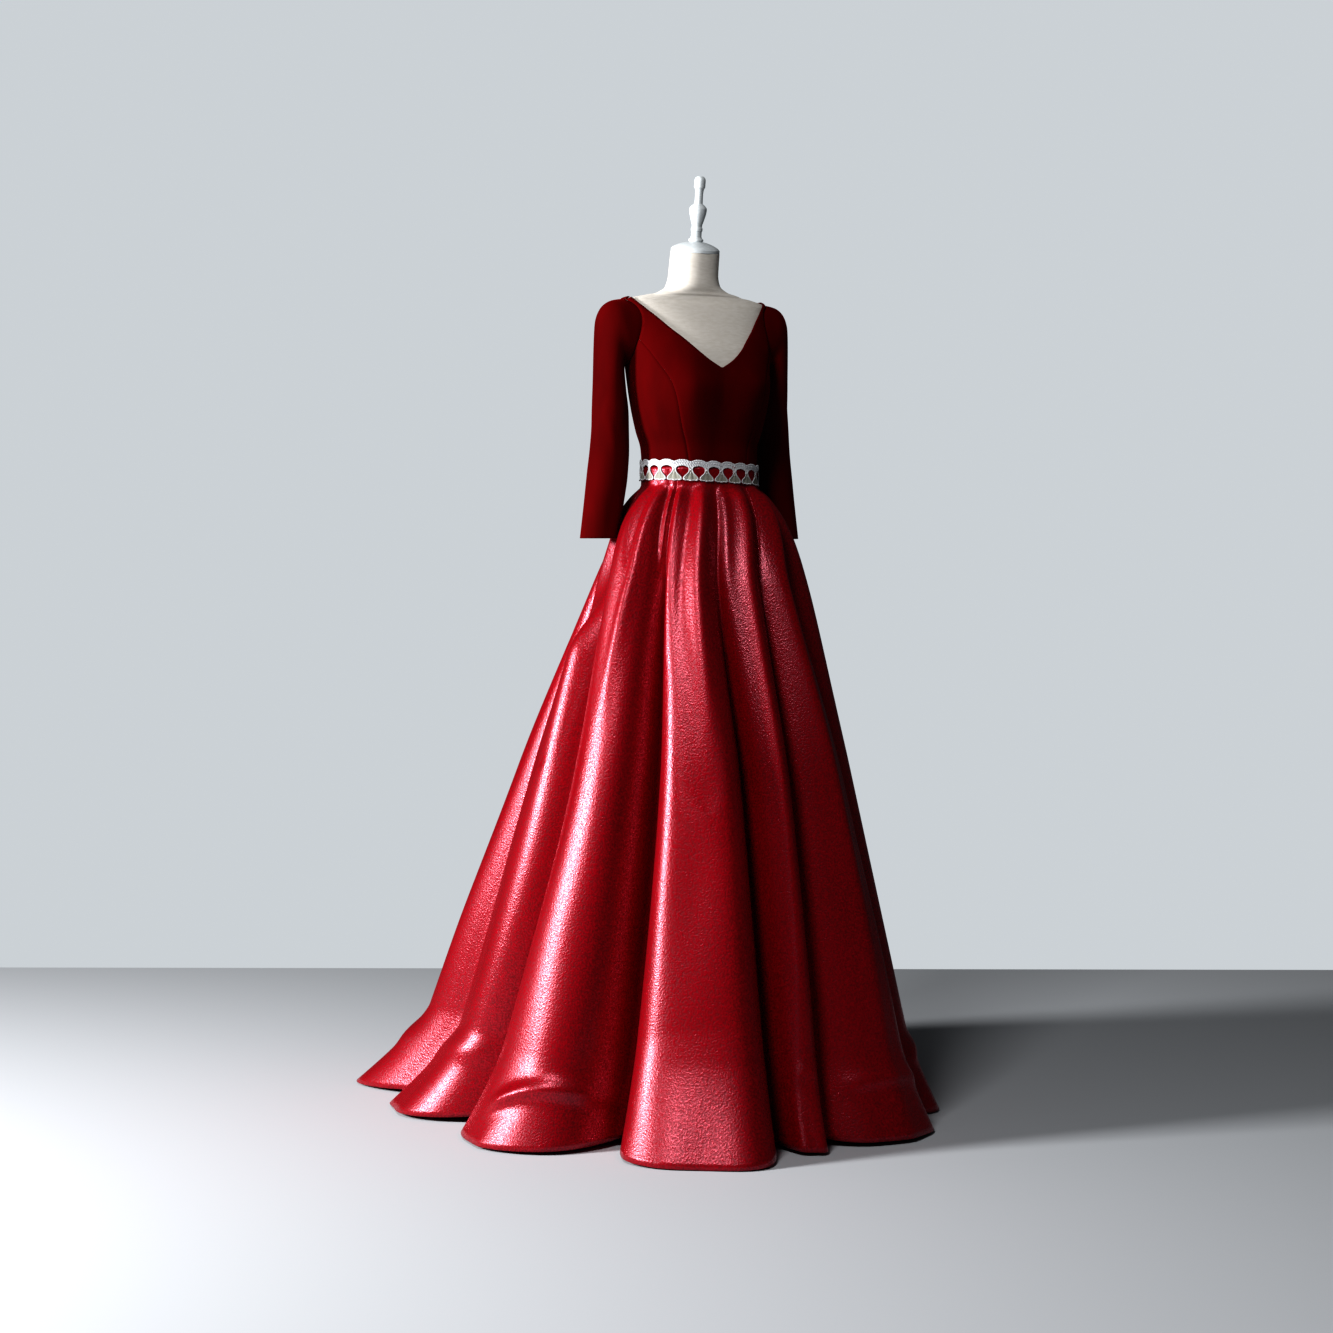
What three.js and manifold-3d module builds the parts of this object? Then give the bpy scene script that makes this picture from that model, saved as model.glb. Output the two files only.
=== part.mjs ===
// Ball gown with a velvet bodice and a folded satin skirt, on a limbless dress form.
// Millimetres, +Z up. The gown's front faces -Y and the wearer's left is +X.
// The origin is on the floor, in the middle of the stand's base.
import * as THREE from 'three';
import { mergeVertices } from 'three/addons/utils/BufferGeometryUtils.js';
import Module from 'manifold-3d';

const wasm = await Module();
wasm.setup();

// Cloth and seams
const CLOTH = 2;
const SEAM = 0.3;
const EDGE_TRIM = 0.22;
const FORM_GAP = 1.4;
const WAIST_GAP = 0.95;
const WAIST_GAP_HEIGHT = 60;

// Heights above the floor
const HEM_Z = 2;
const WAIST_Z = 1220;
const FOLD_START_Z = 1184;
const UNDERARM_Z = 1412;
const ARMHOLE_TOP_Z = 1535;
const BODICE_TOP_Z = 1542;

// Outer surface of the bodice and, below the waist, of the form's hips with the same allowance.
// halfWidth is along X; front and back are the distances from the axis along -Y and +Y.
const BODY = [
  { z: 926, halfWidth: 134, front: 92, back: 94 },
  { z: 932, halfWidth: 148, front: 104, back: 106 },
  { z: 960, halfWidth: 156, front: 110, back: 113 },
  { z: 1000, halfWidth: 156, front: 110, back: 113 },
  { z: 1045, halfWidth: 149, front: 106, back: 111 },
  { z: 1090, halfWidth: 136, front: 98, back: 103 },
  { z: 1140, halfWidth: 120, front: 94, back: 92 },
  { z: 1184, halfWidth: 111, front: 93, back: 83 },
  { z: 1220, halfWidth: 111, front: 93, back: 83 },
  { z: 1236, halfWidth: 111, front: 92, back: 83 },
  { z: 1256, halfWidth: 112, front: 91, back: 84.5 },
  { z: 1290, halfWidth: 122, front: 96, back: 90 },
  { z: 1328, halfWidth: 131, front: 101, back: 94 },
  { z: 1370, halfWidth: 138, front: 104, back: 98 },
  { z: 1403, halfWidth: 141, front: 98, back: 101 },
  { z: 1437, halfWidth: 144, front: 89, back: 103 },
  { z: 1458, halfWidth: 146, front: 78, back: 103 },
  { z: 1479, halfWidth: 149, front: 65, back: 101 },
  { z: 1498, halfWidth: 152, front: 53, back: 95 },
  { z: 1515, halfWidth: 154, front: 42, back: 87 },
  { z: 1528, halfWidth: 154, front: 33, back: 76 },
  { z: 1537, halfWidth: 148, front: 26, back: 66 },
  { z: 1542, halfWidth: 131, front: 24, back: 62 },
  { z: 1549, halfWidth: 98, front: 24, back: 66 },
  { z: 1556, halfWidth: 70, front: 26, back: 71 },
  { z: 1566, halfWidth: 54, front: 28, back: 75 },
  { z: 1584, halfWidth: 49, front: 29, back: 71 },
  { z: 1628, halfWidth: 48, front: 35, back: 61 },
];
const SHOULDER_FULLNESS = 0.05;
const FULLNESS_DROP = 0.1;
const BUST = { x: 68, z: 1362, width: 44, height: 50, rise: 15 };
const BODICE_ROWS = [
  WAIST_Z + SEAM / 2, 1235, 1262, 1290, 1318, 1345, 1372, 1398,
  1424, 1450, 1476, 1498, 1515, 1528, 1537, BODICE_TOP_Z,
];
const HIP_ROWS = [926, 930, 938, 960, 1000, 1045, 1090, 1140, 1184];
const NECK_ROWS = [1546, 1551, 1557, 1566, 1580, 1604, 1628];

// Princess seam between the centre front and the side front, in degrees from the centre front.
const PRINCESS = [
  { z: 1220, turn: 31.5 },
  { z: 1252, turn: 33 },
  { z: 1292, turn: 36 },
  { z: 1376, turn: 43 },
  { z: 1420, turn: 53 },
  { z: 1455, turn: 65 },
  { z: 1476, turn: 76 },
  { z: 1503, turn: 88 },
  { z: 1515, turn: 90 },
  { z: 1542, turn: 90 },
];
const SIDE_SEAM_TURN = 90;
const SIDE_FRONT_TOP_Z = 1476;
const PANEL_STEP_DEGREES = 9;

// Neckline edges seen from the front and from the back, from the centre to the shoulder.
const FRONT_NECKLINE = [
  { x: 0, z: 1403 },
  { x: 24, z: 1418 },
  { x: 46, z: 1437 },
  { x: 65, z: 1457 },
  { x: 87, z: 1479 },
  { x: 104, z: 1498 },
  { x: 123, z: 1518 },
  { x: 139, z: 1537 },
  { x: 145, z: 1552 },
];
const BACK_NECKLINE = [
  { x: 0, z: 1478 },
  { x: 40, z: 1482 },
  { x: 80, z: 1495 },
  { x: 112, z: 1513 },
  { x: 130, z: 1527 },
  { x: 139, z: 1537 },
  { x: 145, z: 1552 },
];
const SHOULDER_SEAM_Y = 21;

// Armhole: an upright oval cut straight through the side of the bodice.
const ARMHOLE = { y: 20, halfDepth: 47, nearX: 90, farX: 250 };
const CUTTER_REACH = 260;
const CUTTER_TOP_Z = 1700;
const SLEEVE_COLUMNS = 20;

// Sleeve sections from the armhole to the cuff. Each is an oval between an inner point beside
// the body and an outer point, with its half depth and middle along Y.
const SLEEVE = [
  { innerX: 147, innerZ: 1412, outerX: 171, outerZ: 1531, halfDepth: 45, y: 21 },
  { innerX: 147.6, innerZ: 1410.6, outerX: 188, outerZ: 1519.5, halfDepth: 44, y: 23 },
  { innerX: 148, innerZ: 1408.8, outerX: 197, outerZ: 1496, halfDepth: 43, y: 25 },
  { innerX: 148.2, innerZ: 1405.5, outerX: 199, outerZ: 1461, halfDepth: 42, y: 26 },
  { innerX: 147.8, innerZ: 1400, outerX: 200, outerZ: 1426, halfDepth: 41, y: 27 },
  { innerX: 145.5, innerZ: 1385, outerX: 201, outerZ: 1388, halfDepth: 40, y: 28 },
  { innerX: 140, innerZ: 1345, outerX: 203, outerZ: 1345, halfDepth: 39, y: 29 },
  { innerX: 136, innerZ: 1300, outerX: 205.5, outerZ: 1300, halfDepth: 38, y: 29 },
  { innerX: 135, innerZ: 1255, outerX: 208.5, outerZ: 1255, halfDepth: 38, y: 29 },
  { innerX: 138, innerZ: 1205, outerX: 214, outerZ: 1205, halfDepth: 38, y: 29 },
  { innerX: 146, innerZ: 1150, outerX: 221, outerZ: 1150, halfDepth: 37, y: 30 },
  { innerX: 157, innerZ: 1087, outerX: 229, outerZ: 1087, halfDepth: 36, y: 30 },
];

// Invisible zip in the centre back seam
const ZIP_HALF_WIDTH = 2.7;
const ZIP_TOP_Z = 1474;

// Folds of the skirt, from the centre back round by the wearer's right. A fold runs from its
// valley to the next one's. Its valley's angle from the centre front is given at four heights,
// then the hem's radius in the valley and at the fold's two edges, and how square it is.
const FOLD_DROPS = [0, 0.157, 0.5, 1];
const FOLDS = [
  { waist: -180, hip: -180, knee: -180, hem: -180, valley: 735, start: 805, end: 790, square: 4 },
  { waist: -157, hip: -156, knee: -157, hem: -158, valley: 705, start: 790, end: 690, square: 5 },
  { waist: -136, hip: -130, knee: -126, hem: -128, valley: 554, start: 604, end: 544, square: 4 },
  { waist: -113, hip: -90, knee: -84, hem: -96, valley: 454, start: 548, end: 512, square: 6 },
  { waist: -43, hip: -44, knee: -45, hem: -49, valley: 385, start: 476, end: 512, square: 6 },
  { waist: -5, hip: -12, knee: -8, hem: -6, valley: 400, start: 445, end: 465, square: 4 },
  { waist: 29, hip: 15, knee: 12, hem: 7, valley: 415, start: 470, end: 500, square: 5 },
  { waist: 57, hip: 39, knee: 45, hem: 46, valley: 395, start: 450, end: 455, square: 4 },
  { waist: 98, hip: 95, knee: 85, hem: 83, valley: 400, start: 480, end: 560, square: 5 },
  { waist: 125, hip: 125, knee: 119, hem: 116, valley: 505, start: 640, end: 720, square: 5 },
  { waist: 153, hip: 153, knee: 149, hem: 148, valley: 690, start: 790, end: 805, square: 4 },
];
const FULL_TURN = 360;
const WAIST_FOLD_SQUARE = 3;
const SQUARE_DROP = 0.25;
const FOLD_GROWTH = 0.5;
const HIP_RISE = 62;
const HIP_DROP = 0.058;
const FLARE = { start: 0.86, front: 20, train: 86, power: 1.3 };
const TRAIN = { from: 60, full: 130, curve: 0.08 };
const ROUND_DROP = 0.45;
const ARM_RELIEF = { turn: 103, nearest: 149, spread: 0.11, softness: 5, fadeZ: 1020, fullZ: 1080 };
const FOLD_COLUMNS = [0, 0.06, 0.14, 0.3, 0.5, 0.7, 0.86, 0.94];
const SKIRT_ROWS = [
  HEM_Z, 50, 120, 230, 390, 580, 780, 930, 1030, 1100, 1148, 1172,
  FOLD_START_Z, WAIST_Z - SEAM / 2,
];
const GORES = [
  { name: 'skirt_back_right', first: 0, count: 2 },
  { name: 'skirt_side_right', first: 2, count: 2 },
  { name: 'skirt_front', first: 4, count: 2 },
  { name: 'skirt_side_left', first: 6, count: 2 },
  { name: 'skirt_side_back_left', first: 8, count: 2 },
  { name: 'skirt_back_left', first: 10, count: 1 },
];

// Lace belt: scalloped band with an egg-shaped opening in each repeat. evenness turns equal
// angles into equal lengths round the waist's oval.
const BELT = {
  bottom: 1190, top: 1230, tilt: 0.045, evenness: 0.052, standoff: 0.7, repeats: 22, wave: 2, scallop: 4,
  holeZ: 1207.5, holeHalfWidth: 7.6, holeHalfHeight: 10.5, holeTaper: 0.28, endTrim: 1.5,
};

// Neck cap and finial, as radius and height along their common axis, which leans forward.
const NECK_LEAN_DEGREES = 9;
const NECK_BASE_Z = 1566;
const NECK_TOP = { y: 13, z: 1628 };
const CAP_PROFILE = [
  { r: 46, h: 0.3 },
  { r: 46, h: 6 },
  { r: 43, h: 9 },
  { r: 34, h: 14 },
  { r: 23, h: 18 },
  { r: 14, h: 20 },
];
const FINIAL_PROFILE = [
  { r: 13, h: 20.3 },
  { r: 14, h: 24 },
  { r: 11, h: 27 },
  { r: 9.8, h: 31 },
  { r: 9.8, h: 38 },
  { r: 11, h: 41 },
  { r: 11, h: 45 },
  { r: 9.5, h: 48 },
  { r: 12.5, h: 60 },
  { r: 16, h: 74 },
  { r: 16.5, h: 81 },
  { r: 13, h: 87 },
  { r: 7.8, h: 92 },
  { r: 7.4, h: 108 },
  { r: 8.2, h: 117 },
  { r: 10.5, h: 122 },
  { r: 10.5, h: 134 },
  { r: 9, h: 139 },
  { r: 5.5, h: 142 },
];
const TURNED_SIDES = 20;

// Pole and base of the stand
const POLE_RADIUS = 16;
const BASE_RADIUS = 190;
const BASE_HEIGHT = 14;
const BASE_EDGE = 4;

const MATERIALS = {
  velvet: new THREE.MeshStandardMaterial({ color: 0x5a0510, roughness: 0.9, metalness: 0 }),
  satin: new THREE.MeshStandardMaterial({ color: 0xb3001c, roughness: 0.4, metalness: 0 }),
  lace: new THREE.MeshStandardMaterial({ color: 0xb9b8bd, roughness: 0.5, metalness: 0 }),
  zip: new THREE.MeshStandardMaterial({ color: 0x4a040c, roughness: 0.6, metalness: 0 }),
  linen: new THREE.MeshStandardMaterial({ color: 0xd9d2c9, roughness: 0.9, metalness: 0 }),
  wood: new THREE.MeshStandardMaterial({ color: 0xe3e9ec, roughness: 0.45, metalness: 0 }),
  steel: new THREE.MeshStandardMaterial({ color: 0xdfe2e4, roughness: 0.4, metalness: 0.2 }),
};

const gown = new THREE.Group();

function addPiece(name, geometry, material) {
  const mesh = new THREE.Mesh(geometry, material.clone());
  mesh.name = name;
  gown.add(mesh);
}

// Value at x on a smooth curve through the points, which never overshoots them.
function smoothThrough(xs, ys, x) {
  const last = xs.length - 1;
  if (x <= xs[0]) return ys[0];
  if (x >= xs[last]) return ys[last];
  let i = 0;
  while (x > xs[i + 1]) i += 1;
  const slope = (k) => (ys[k + 1] - ys[k]) / (xs[k + 1] - xs[k]);
  const tangent = (k) => {
    if (k === 0 || k === last) return slope(Math.min(k, last - 1));
    const before = slope(k - 1);
    const after = slope(k);
    return before * after <= 0 ? 0 : (2 * before * after) / (before + after);
  };
  const span = xs[i + 1] - xs[i];
  const t = (x - xs[i]) / span;
  const rise = ys[i + 1] - ys[i];
  const start = tangent(i) * span;
  const end = tangent(i + 1) * span;
  return ys[i] + start * t + (3 * rise - 2 * start - end) * t * t
    + (start + end - 2 * rise) * t * t * t;
}

function fromTable(table, column, z) {
  return smoothThrough(table.map((row) => row.z), table.map((row) => row[column]), z);
}

const radians = THREE.MathUtils.degToRad;
const mix = THREE.MathUtils.lerp;
const smoothStep = THREE.MathUtils.smoothstep;

// Half width, half depth and middle along Y of the waist seam's oval.
const waistRow = BODY.find((row) => row.z === WAIST_Z);
const WAIST = {
  halfWidth: waistRow.halfWidth,
  halfDepth: (waistRow.front + waistRow.back) / 2,
  middle: (waistRow.back - waistRow.front) / 2,
};

// Point on the body's outer surface. turn is in degrees from the centre front to the left.
function bodyPoint(turn, z) {
  const angle = radians(turn);
  const front = fromTable(BODY, 'front', z);
  const back = fromTable(BODY, 'back', z);
  const halfDepth = (front + back) / 2;
  const fullness = 1 + SHOULDER_FULLNESS * Math.sin(2 * angle) ** 2;
  const x = fromTable(BODY, 'halfWidth', z) * Math.sin(angle) * fullness;
  const y = (back - front) / 2 - halfDepth * Math.cos(angle) * fullness;
  const bustAcross = (Math.abs(x) - BUST.x) / BUST.width;
  const bustUp = (z - BUST.z) / BUST.height;
  const swell = Math.exp(-(bustAcross ** 2) - bustUp ** 2);
  const bust = BUST.rise * swell * Math.max(0, Math.cos(angle));
  return new THREE.Vector3(x, y - bust, z);
}

// Outward unit normal of a surface at (u, v), from points a little to each side.
function normalAt(pointAt, u, v, uRange, vRange, step) {
  const along = pointAt(Math.min(u + step, uRange[1]), v);
  along.sub(pointAt(Math.max(u - step, uRange[0]), v));
  const up = pointAt(u, Math.min(v + step, vRange[1]));
  up.sub(pointAt(u, Math.max(v - step, vRange[0])));
  return along.cross(up).normalize();
}

function pushQuad(index, a, b, c, d) {
  index.push(a, b, c, a, c, d);
}

function indexedGeometry(points, index) {
  const geometry = new THREE.BufferGeometry();
  const positions = points.flatMap((point) => point.toArray());
  geometry.setAttribute('position', new THREE.Float32BufferAttribute(positions, 3));
  geometry.setIndex(index);
  return geometry;
}

// Wall of cloth on a surface: the outer grid, the same grid moved in by the thickness, and the
// strips that join their edges. Open sides are drawn back by their trims to leave the seams.
function clothWall(pointAt, us, vs, { closed = false, startTrim = 0, endTrim = 0, step = 0.05 }) {
  const wide = [-Infinity, Infinity];
  const uRange = closed ? wide : [us[0], us[us.length - 1]];
  const vRange = [Math.min(...vs), Math.max(...vs)];
  const columns = us.length;
  const outer = [];
  const inner = [];
  for (const v of vs) {
    const row = us.map((u) => pointAt(u, v));
    const normals = us.map((u) => normalAt(pointAt, u, v, uRange, vRange, step));
    if (startTrim) row[0].add(row[1].clone().sub(row[0]).setLength(startTrim));
    const end = columns - 1;
    if (endTrim) row[end].add(row[end - 1].clone().sub(row[end]).setLength(endTrim));
    outer.push(...row);
    inner.push(...row.map((point, i) => point.clone().addScaledVector(normals[i], -CLOTH)));
  }
  const index = [];
  const shift = outer.length;
  const cells = closed ? columns : columns - 1;
  const at = (row, column) => row * columns + (column % columns);
  for (let r = 0; r < vs.length - 1; r += 1) {
    for (let c = 0; c < cells; c += 1) {
      const corners = [at(r, c), at(r, c + 1), at(r + 1, c + 1), at(r + 1, c)];
      pushQuad(index, ...corners);
      pushQuad(index, ...corners.map((k) => k + shift).reverse());
    }
    if (!closed) {
      pushQuad(index, at(r, 0), at(r + 1, 0), at(r + 1, 0) + shift, at(r, 0) + shift);
      const [low, high] = [at(r, cells), at(r + 1, cells)];
      pushQuad(index, low + shift, high + shift, high, low);
    }
  }
  const top = vs.length - 1;
  for (let c = 0; c < cells; c += 1) {
    pushQuad(index, at(0, c) + shift, at(0, c + 1) + shift, at(0, c + 1), at(0, c));
    pushQuad(index, at(top, c), at(top, c + 1), at(top, c + 1) + shift, at(top, c) + shift);
  }
  return indexedGeometry([...outer, ...inner], index);
}

function toSolid(geometry) {
  const bare = geometry.clone();
  bare.deleteAttribute('normal');
  bare.deleteAttribute('uv');
  const merged = mergeVertices(bare, 1e-4);
  return new wasm.Manifold(new wasm.Mesh({
    numProp: 3,
    vertProperties: new Float32Array(merged.attributes.position.array),
    triVerts: new Uint32Array(merged.index.array),
  }));
}

function toGeometry(solid) {
  const mesh = solid.getMesh();
  const geometry = new THREE.BufferGeometry();
  geometry.setAttribute('position', new THREE.BufferAttribute(mesh.vertProperties, 3));
  geometry.setIndex(new THREE.BufferAttribute(mesh.triVerts, 1));
  return geometry;
}

// Prism that takes away everything above a neckline, between two planes across Y.
function necklineCutter(edge, fromY, toY) {
  const half = edge.map((point) => new THREE.Vector2(point.x, point.z));
  const mirrored = half.slice(1).reverse().map((point) => new THREE.Vector2(-point.x, point.y));
  const reach = edge[edge.length - 1].x;
  const outline = [new THREE.Vector2(-reach, CUTTER_TOP_Z), ...mirrored, ...half];
  outline.push(new THREE.Vector2(reach, CUTTER_TOP_Z));
  const prism = new THREE.ExtrudeGeometry(new THREE.Shape(outline), {
    depth: toY - fromY, bevelEnabled: false,
  });
  prism.rotateX(Math.PI / 2);
  prism.translate(0, toY, 0);
  return toSolid(prism);
}

// Oval prism through one side of the bodice, a seam's width larger than the sleeve's end.
function armholeCutter(side) {
  const outline = [];
  const height = (ARMHOLE_TOP_Z - UNDERARM_Z) / 2;
  for (let i = 0; i < SLEEVE_COLUMNS; i += 1) {
    const angle = (i / SLEEVE_COLUMNS) * 2 * Math.PI;
    const y = ARMHOLE.y + (ARMHOLE.halfDepth + SEAM) * Math.sin(angle);
    const z = UNDERARM_Z + height - (height + SEAM) * Math.cos(angle);
    outline.push(new THREE.Vector2(y, z));
  }
  const prism = new THREE.ExtrudeGeometry(new THREE.Shape(outline), {
    depth: ARMHOLE.farX - ARMHOLE.nearX, bevelEnabled: false,
  });
  prism.rotateX(Math.PI / 2);
  prism.rotateZ(Math.PI / 2);
  prism.translate(side > 0 ? ARMHOLE.nearX : -ARMHOLE.farX, 0, 0);
  return toSolid(prism);
}

const cutters = {
  frontNeck: necklineCutter(FRONT_NECKLINE, -CUTTER_REACH, SHOULDER_SEAM_Y),
  backNeck: necklineCutter(BACK_NECKLINE, SHOULDER_SEAM_Y, CUTTER_REACH),
  rightArm: armholeCutter(-1),
  leftArm: armholeCutter(1),
};

function cutPiece(wall, tools) {
  return toGeometry(tools.reduce((piece, tool) => piece.subtract(tool), toSolid(wall)));
}

// Grid values from 0 to 1 with steps of about PANEL_STEP_DEGREES over the given angle.
function fractions(degrees) {
  const count = Math.max(2, Math.round(degrees / PANEL_STEP_DEGREES));
  return Array.from({ length: count + 1 }, (unused, i) => i / count);
}

// Bodice panel between two seams, each a function of height that gives its angle.
function bodicePanel(fromTurn, toTurn, rows, trims, degrees) {
  const pointAt = (u, z) => bodyPoint(mix(fromTurn(z), toTurn(z), u), z);
  return clothWall(pointAt, fractions(degrees), rows, { ...trims, step: 0.01 });
}

function addBodice() {
  const princess = (z) => fromTable(PRINCESS, 'turn', z);
  const side = () => SIDE_SEAM_TURN;
  const seams = { startTrim: EDGE_TRIM, endTrim: EDGE_TRIM };
  const front = bodicePanel((z) => -princess(z), princess, BODICE_ROWS, seams, 180);
  const frontTools = [cutters.frontNeck, cutters.rightArm, cutters.leftArm];
  addPiece('bodice_centre_front', cutPiece(front, frontTools), MATERIALS.velvet);

  const lowRows = BODICE_ROWS.filter((z) => z <= SIDE_FRONT_TOP_Z);
  const sideLeft = bodicePanel(princess, side, lowRows, seams, 60);
  const sideRight = bodicePanel((z) => -side(), (z) => -princess(z), lowRows, seams, 60);
  addPiece('bodice_side_front_left', cutPiece(sideLeft, [cutters.leftArm]), MATERIALS.velvet);
  addPiece('bodice_side_front_right', cutPiece(sideRight, [cutters.rightArm]), MATERIALS.velvet);

  const zipEdge = ZIP_HALF_WIDTH + SEAM;
  const leftTrims = { startTrim: EDGE_TRIM, endTrim: zipEdge };
  const rightTrims = { startTrim: zipEdge, endTrim: EDGE_TRIM };
  const backLeft = bodicePanel(side, () => 180, BODICE_ROWS, leftTrims, 90);
  const backRight = bodicePanel(() => 180, () => 270, BODICE_ROWS, rightTrims, 90);
  addPiece('bodice_back_left', cutPiece(backLeft, [cutters.backNeck, cutters.leftArm]),
    MATERIALS.velvet);
  addPiece('bodice_back_right', cutPiece(backRight, [cutters.backNeck, cutters.rightArm]),
    MATERIALS.velvet);
}

// Closed zip in the centre back, flush with the backs on each side of it.
function addZip() {
  const rows = BODICE_ROWS.filter((z) => z < ZIP_TOP_Z).concat(ZIP_TOP_Z);
  const pointAt = (u, z) => {
    const halfTurn = THREE.MathUtils.radToDeg(ZIP_HALF_WIDTH / fromTable(BODY, 'halfWidth', z));
    return bodyPoint(180 + u * halfTurn, z);
  };
  addPiece('back_zip', clothWall(pointAt, [-1, 0, 1], rows, { step: 0.01 }), MATERIALS.zip);
}

// Oval at the armhole, laid on the bodice's surface. angle 0 is at the underarm.
function armholePoint(angle) {
  const halfHeight = (ARMHOLE_TOP_Z - UNDERARM_Z) / 2;
  const y = ARMHOLE.y + ARMHOLE.halfDepth * Math.sin(angle);
  const z = UNDERARM_Z + halfHeight - halfHeight * Math.cos(angle);
  const front = fromTable(BODY, 'front', z);
  const back = fromTable(BODY, 'back', z);
  const cosine = THREE.MathUtils.clamp(((back - front) / 2 - y) / ((front + back) / 2), -1, 1);
  const turn = THREE.MathUtils.radToDeg(Math.acos(cosine));
  return new THREE.Vector3(bodyPoint(turn, z).x, y, z);
}

// Point of the left sleeve. station 0 is the armhole, each further whole number a section.
function sleevePoint(angle, station) {
  if (station <= 0) return armholePoint(angle);
  const stations = SLEEVE.map((row, i) => i + 1);
  const value = (column) => smoothThrough(stations, SLEEVE.map((row) => row[column]), station);
  const across = (1 - Math.cos(angle)) / 2;
  const section = new THREE.Vector3(
    mix(value('innerX'), value('outerX'), across),
    value('y') + value('halfDepth') * Math.sin(angle),
    mix(value('innerZ'), value('outerZ'), across),
  );
  return station < 1 ? armholePoint(angle).lerp(section, station) : section;
}

function addSleeve(name, side) {
  const angles = Array.from({ length: SLEEVE_COLUMNS }, (unused, i) => (
    (i / SLEEVE_COLUMNS) * 2 * Math.PI
  ));
  const stations = Array.from({ length: SLEEVE.length + 1 }, (unused, i) => i);
  const pointAt = (angle, station) => {
    const point = sleevePoint(side > 0 ? angle : -angle, station);
    point.x *= side;
    return point;
  };
  const wall = clothWall(pointAt, angles, stations, { closed: true, step: 0.02 });
  addPiece(name, wall, MATERIALS.velvet);
}

function foldAngle(fold, drop) {
  const shift = FULL_TURN * Math.floor(fold / FOLDS.length);
  const row = FOLDS[fold % FOLDS.length];
  return shift + smoothThrough(FOLD_DROPS, [row.waist, row.hip, row.knee, row.hem], drop);
}

// Radius of a fold's edge at a height, from its radius at the hem: the hips' rise, the slope
// down to the hem, which curves out towards the train, and the flare just above the floor.
function edgeRadius(hemRadius, trainShare, drop) {
  const flare = mix(FLARE.front, FLARE.train, trainShare);
  const slope = hemRadius - flare - WAIST.halfWidth - HIP_RISE;
  const lift = Math.max(0, (drop - FLARE.start) / (1 - FLARE.start)) ** FLARE.power;
  return WAIST.halfWidth + HIP_RISE * (1 - Math.exp(-drop / HIP_DROP))
    + slope * drop ** (1 + TRAIN.curve * trainShare) + flare * lift;
}

// Radius in the valley where a fold starts, shared by the folds on both sides of it.
function valleyRadius(number, trainShare, drop) {
  const row = FOLDS[number % FOLDS.length];
  const before = FOLDS[(number + FOLDS.length - 1) % FOLDS.length];
  const depth = (before.end + row.start) / 2 - row.valley;
  return edgeRadius(row.valley + depth, trainShare, drop) - depth * drop ** FOLD_GROWTH;
}

// Degrees from the centre front, without a sign.
function fromFront(turn) {
  return Math.abs(((turn + 1.5 * FULL_TURN) % FULL_TURN) - FULL_TURN / 2);
}

// The skirt lies flatter below each sleeve, so that the cuff hangs clear of it.
function besideArm(radius, turn, z) {
  const limit = ARM_RELIEF.nearest + ARM_RELIEF.spread * (fromFront(turn) - ARM_RELIEF.turn) ** 2;
  const eased = (radius + limit - Math.hypot(radius - limit, ARM_RELIEF.softness)) / 2;
  return mix(radius, eased, smoothStep(z, ARM_RELIEF.fadeZ, ARM_RELIEF.fullZ));
}

// Point on the skirt's outer surface. fold counts along the folds, so 2.5 is the middle of the
// third one.
function skirtPoint(fold, z) {
  const drop = Math.max(0, (FOLD_START_Z - z) / FOLD_START_Z);
  const number = Math.floor(fold);
  const share = fold - number;
  const row = FOLDS[number % FOLDS.length];
  const turn = mix(foldAngle(number, drop), foldAngle(number + 1, drop), share);
  const trainShare = smoothStep(fromFront(turn), TRAIN.from, TRAIN.full);
  const square = mix(WAIST_FOLD_SQUARE, row.square, Math.min(1, drop / SQUARE_DROP));
  const edge = edgeRadius(mix(row.start, row.end, share), trainShare, drop);
  const valleys = [number, number + 1].map((k) => valleyRadius(k, trainShare, drop));
  const folded = mix(edge, mix(valleys[0], valleys[1], share), Math.abs(2 * share - 1) ** square);
  const radius = besideArm(folded, turn, z);
  const angle = radians(turn);
  const roundness = smoothStep(drop, 0, ROUND_DROP);
  const flatness = mix(WAIST.halfDepth / WAIST.halfWidth, 1, roundness);
  const fullness = 1 + SHOULDER_FULLNESS * Math.sin(2 * angle) ** 2 * Math.exp(-drop / FULLNESS_DROP);
  const x = radius * Math.sin(angle) * fullness;
  const y = mix(WAIST.middle, 0, roundness) - radius * flatness * Math.cos(angle) * fullness;
  return new THREE.Vector3(x, y, z);
}

function addSkirt() {
  const seams = { startTrim: EDGE_TRIM, endTrim: EDGE_TRIM, step: 0.01 };
  for (const { name, first, count } of GORES) {
    const folds = [];
    for (let i = 0; i < count; i += 1) {
      folds.push(...FOLD_COLUMNS.map((share) => first + i + share));
    }
    folds.push(first + count);
    addPiece(name, clothWall(skirtPoint, folds, SKIRT_ROWS, seams), MATERIALS.satin);
  }
}

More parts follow.
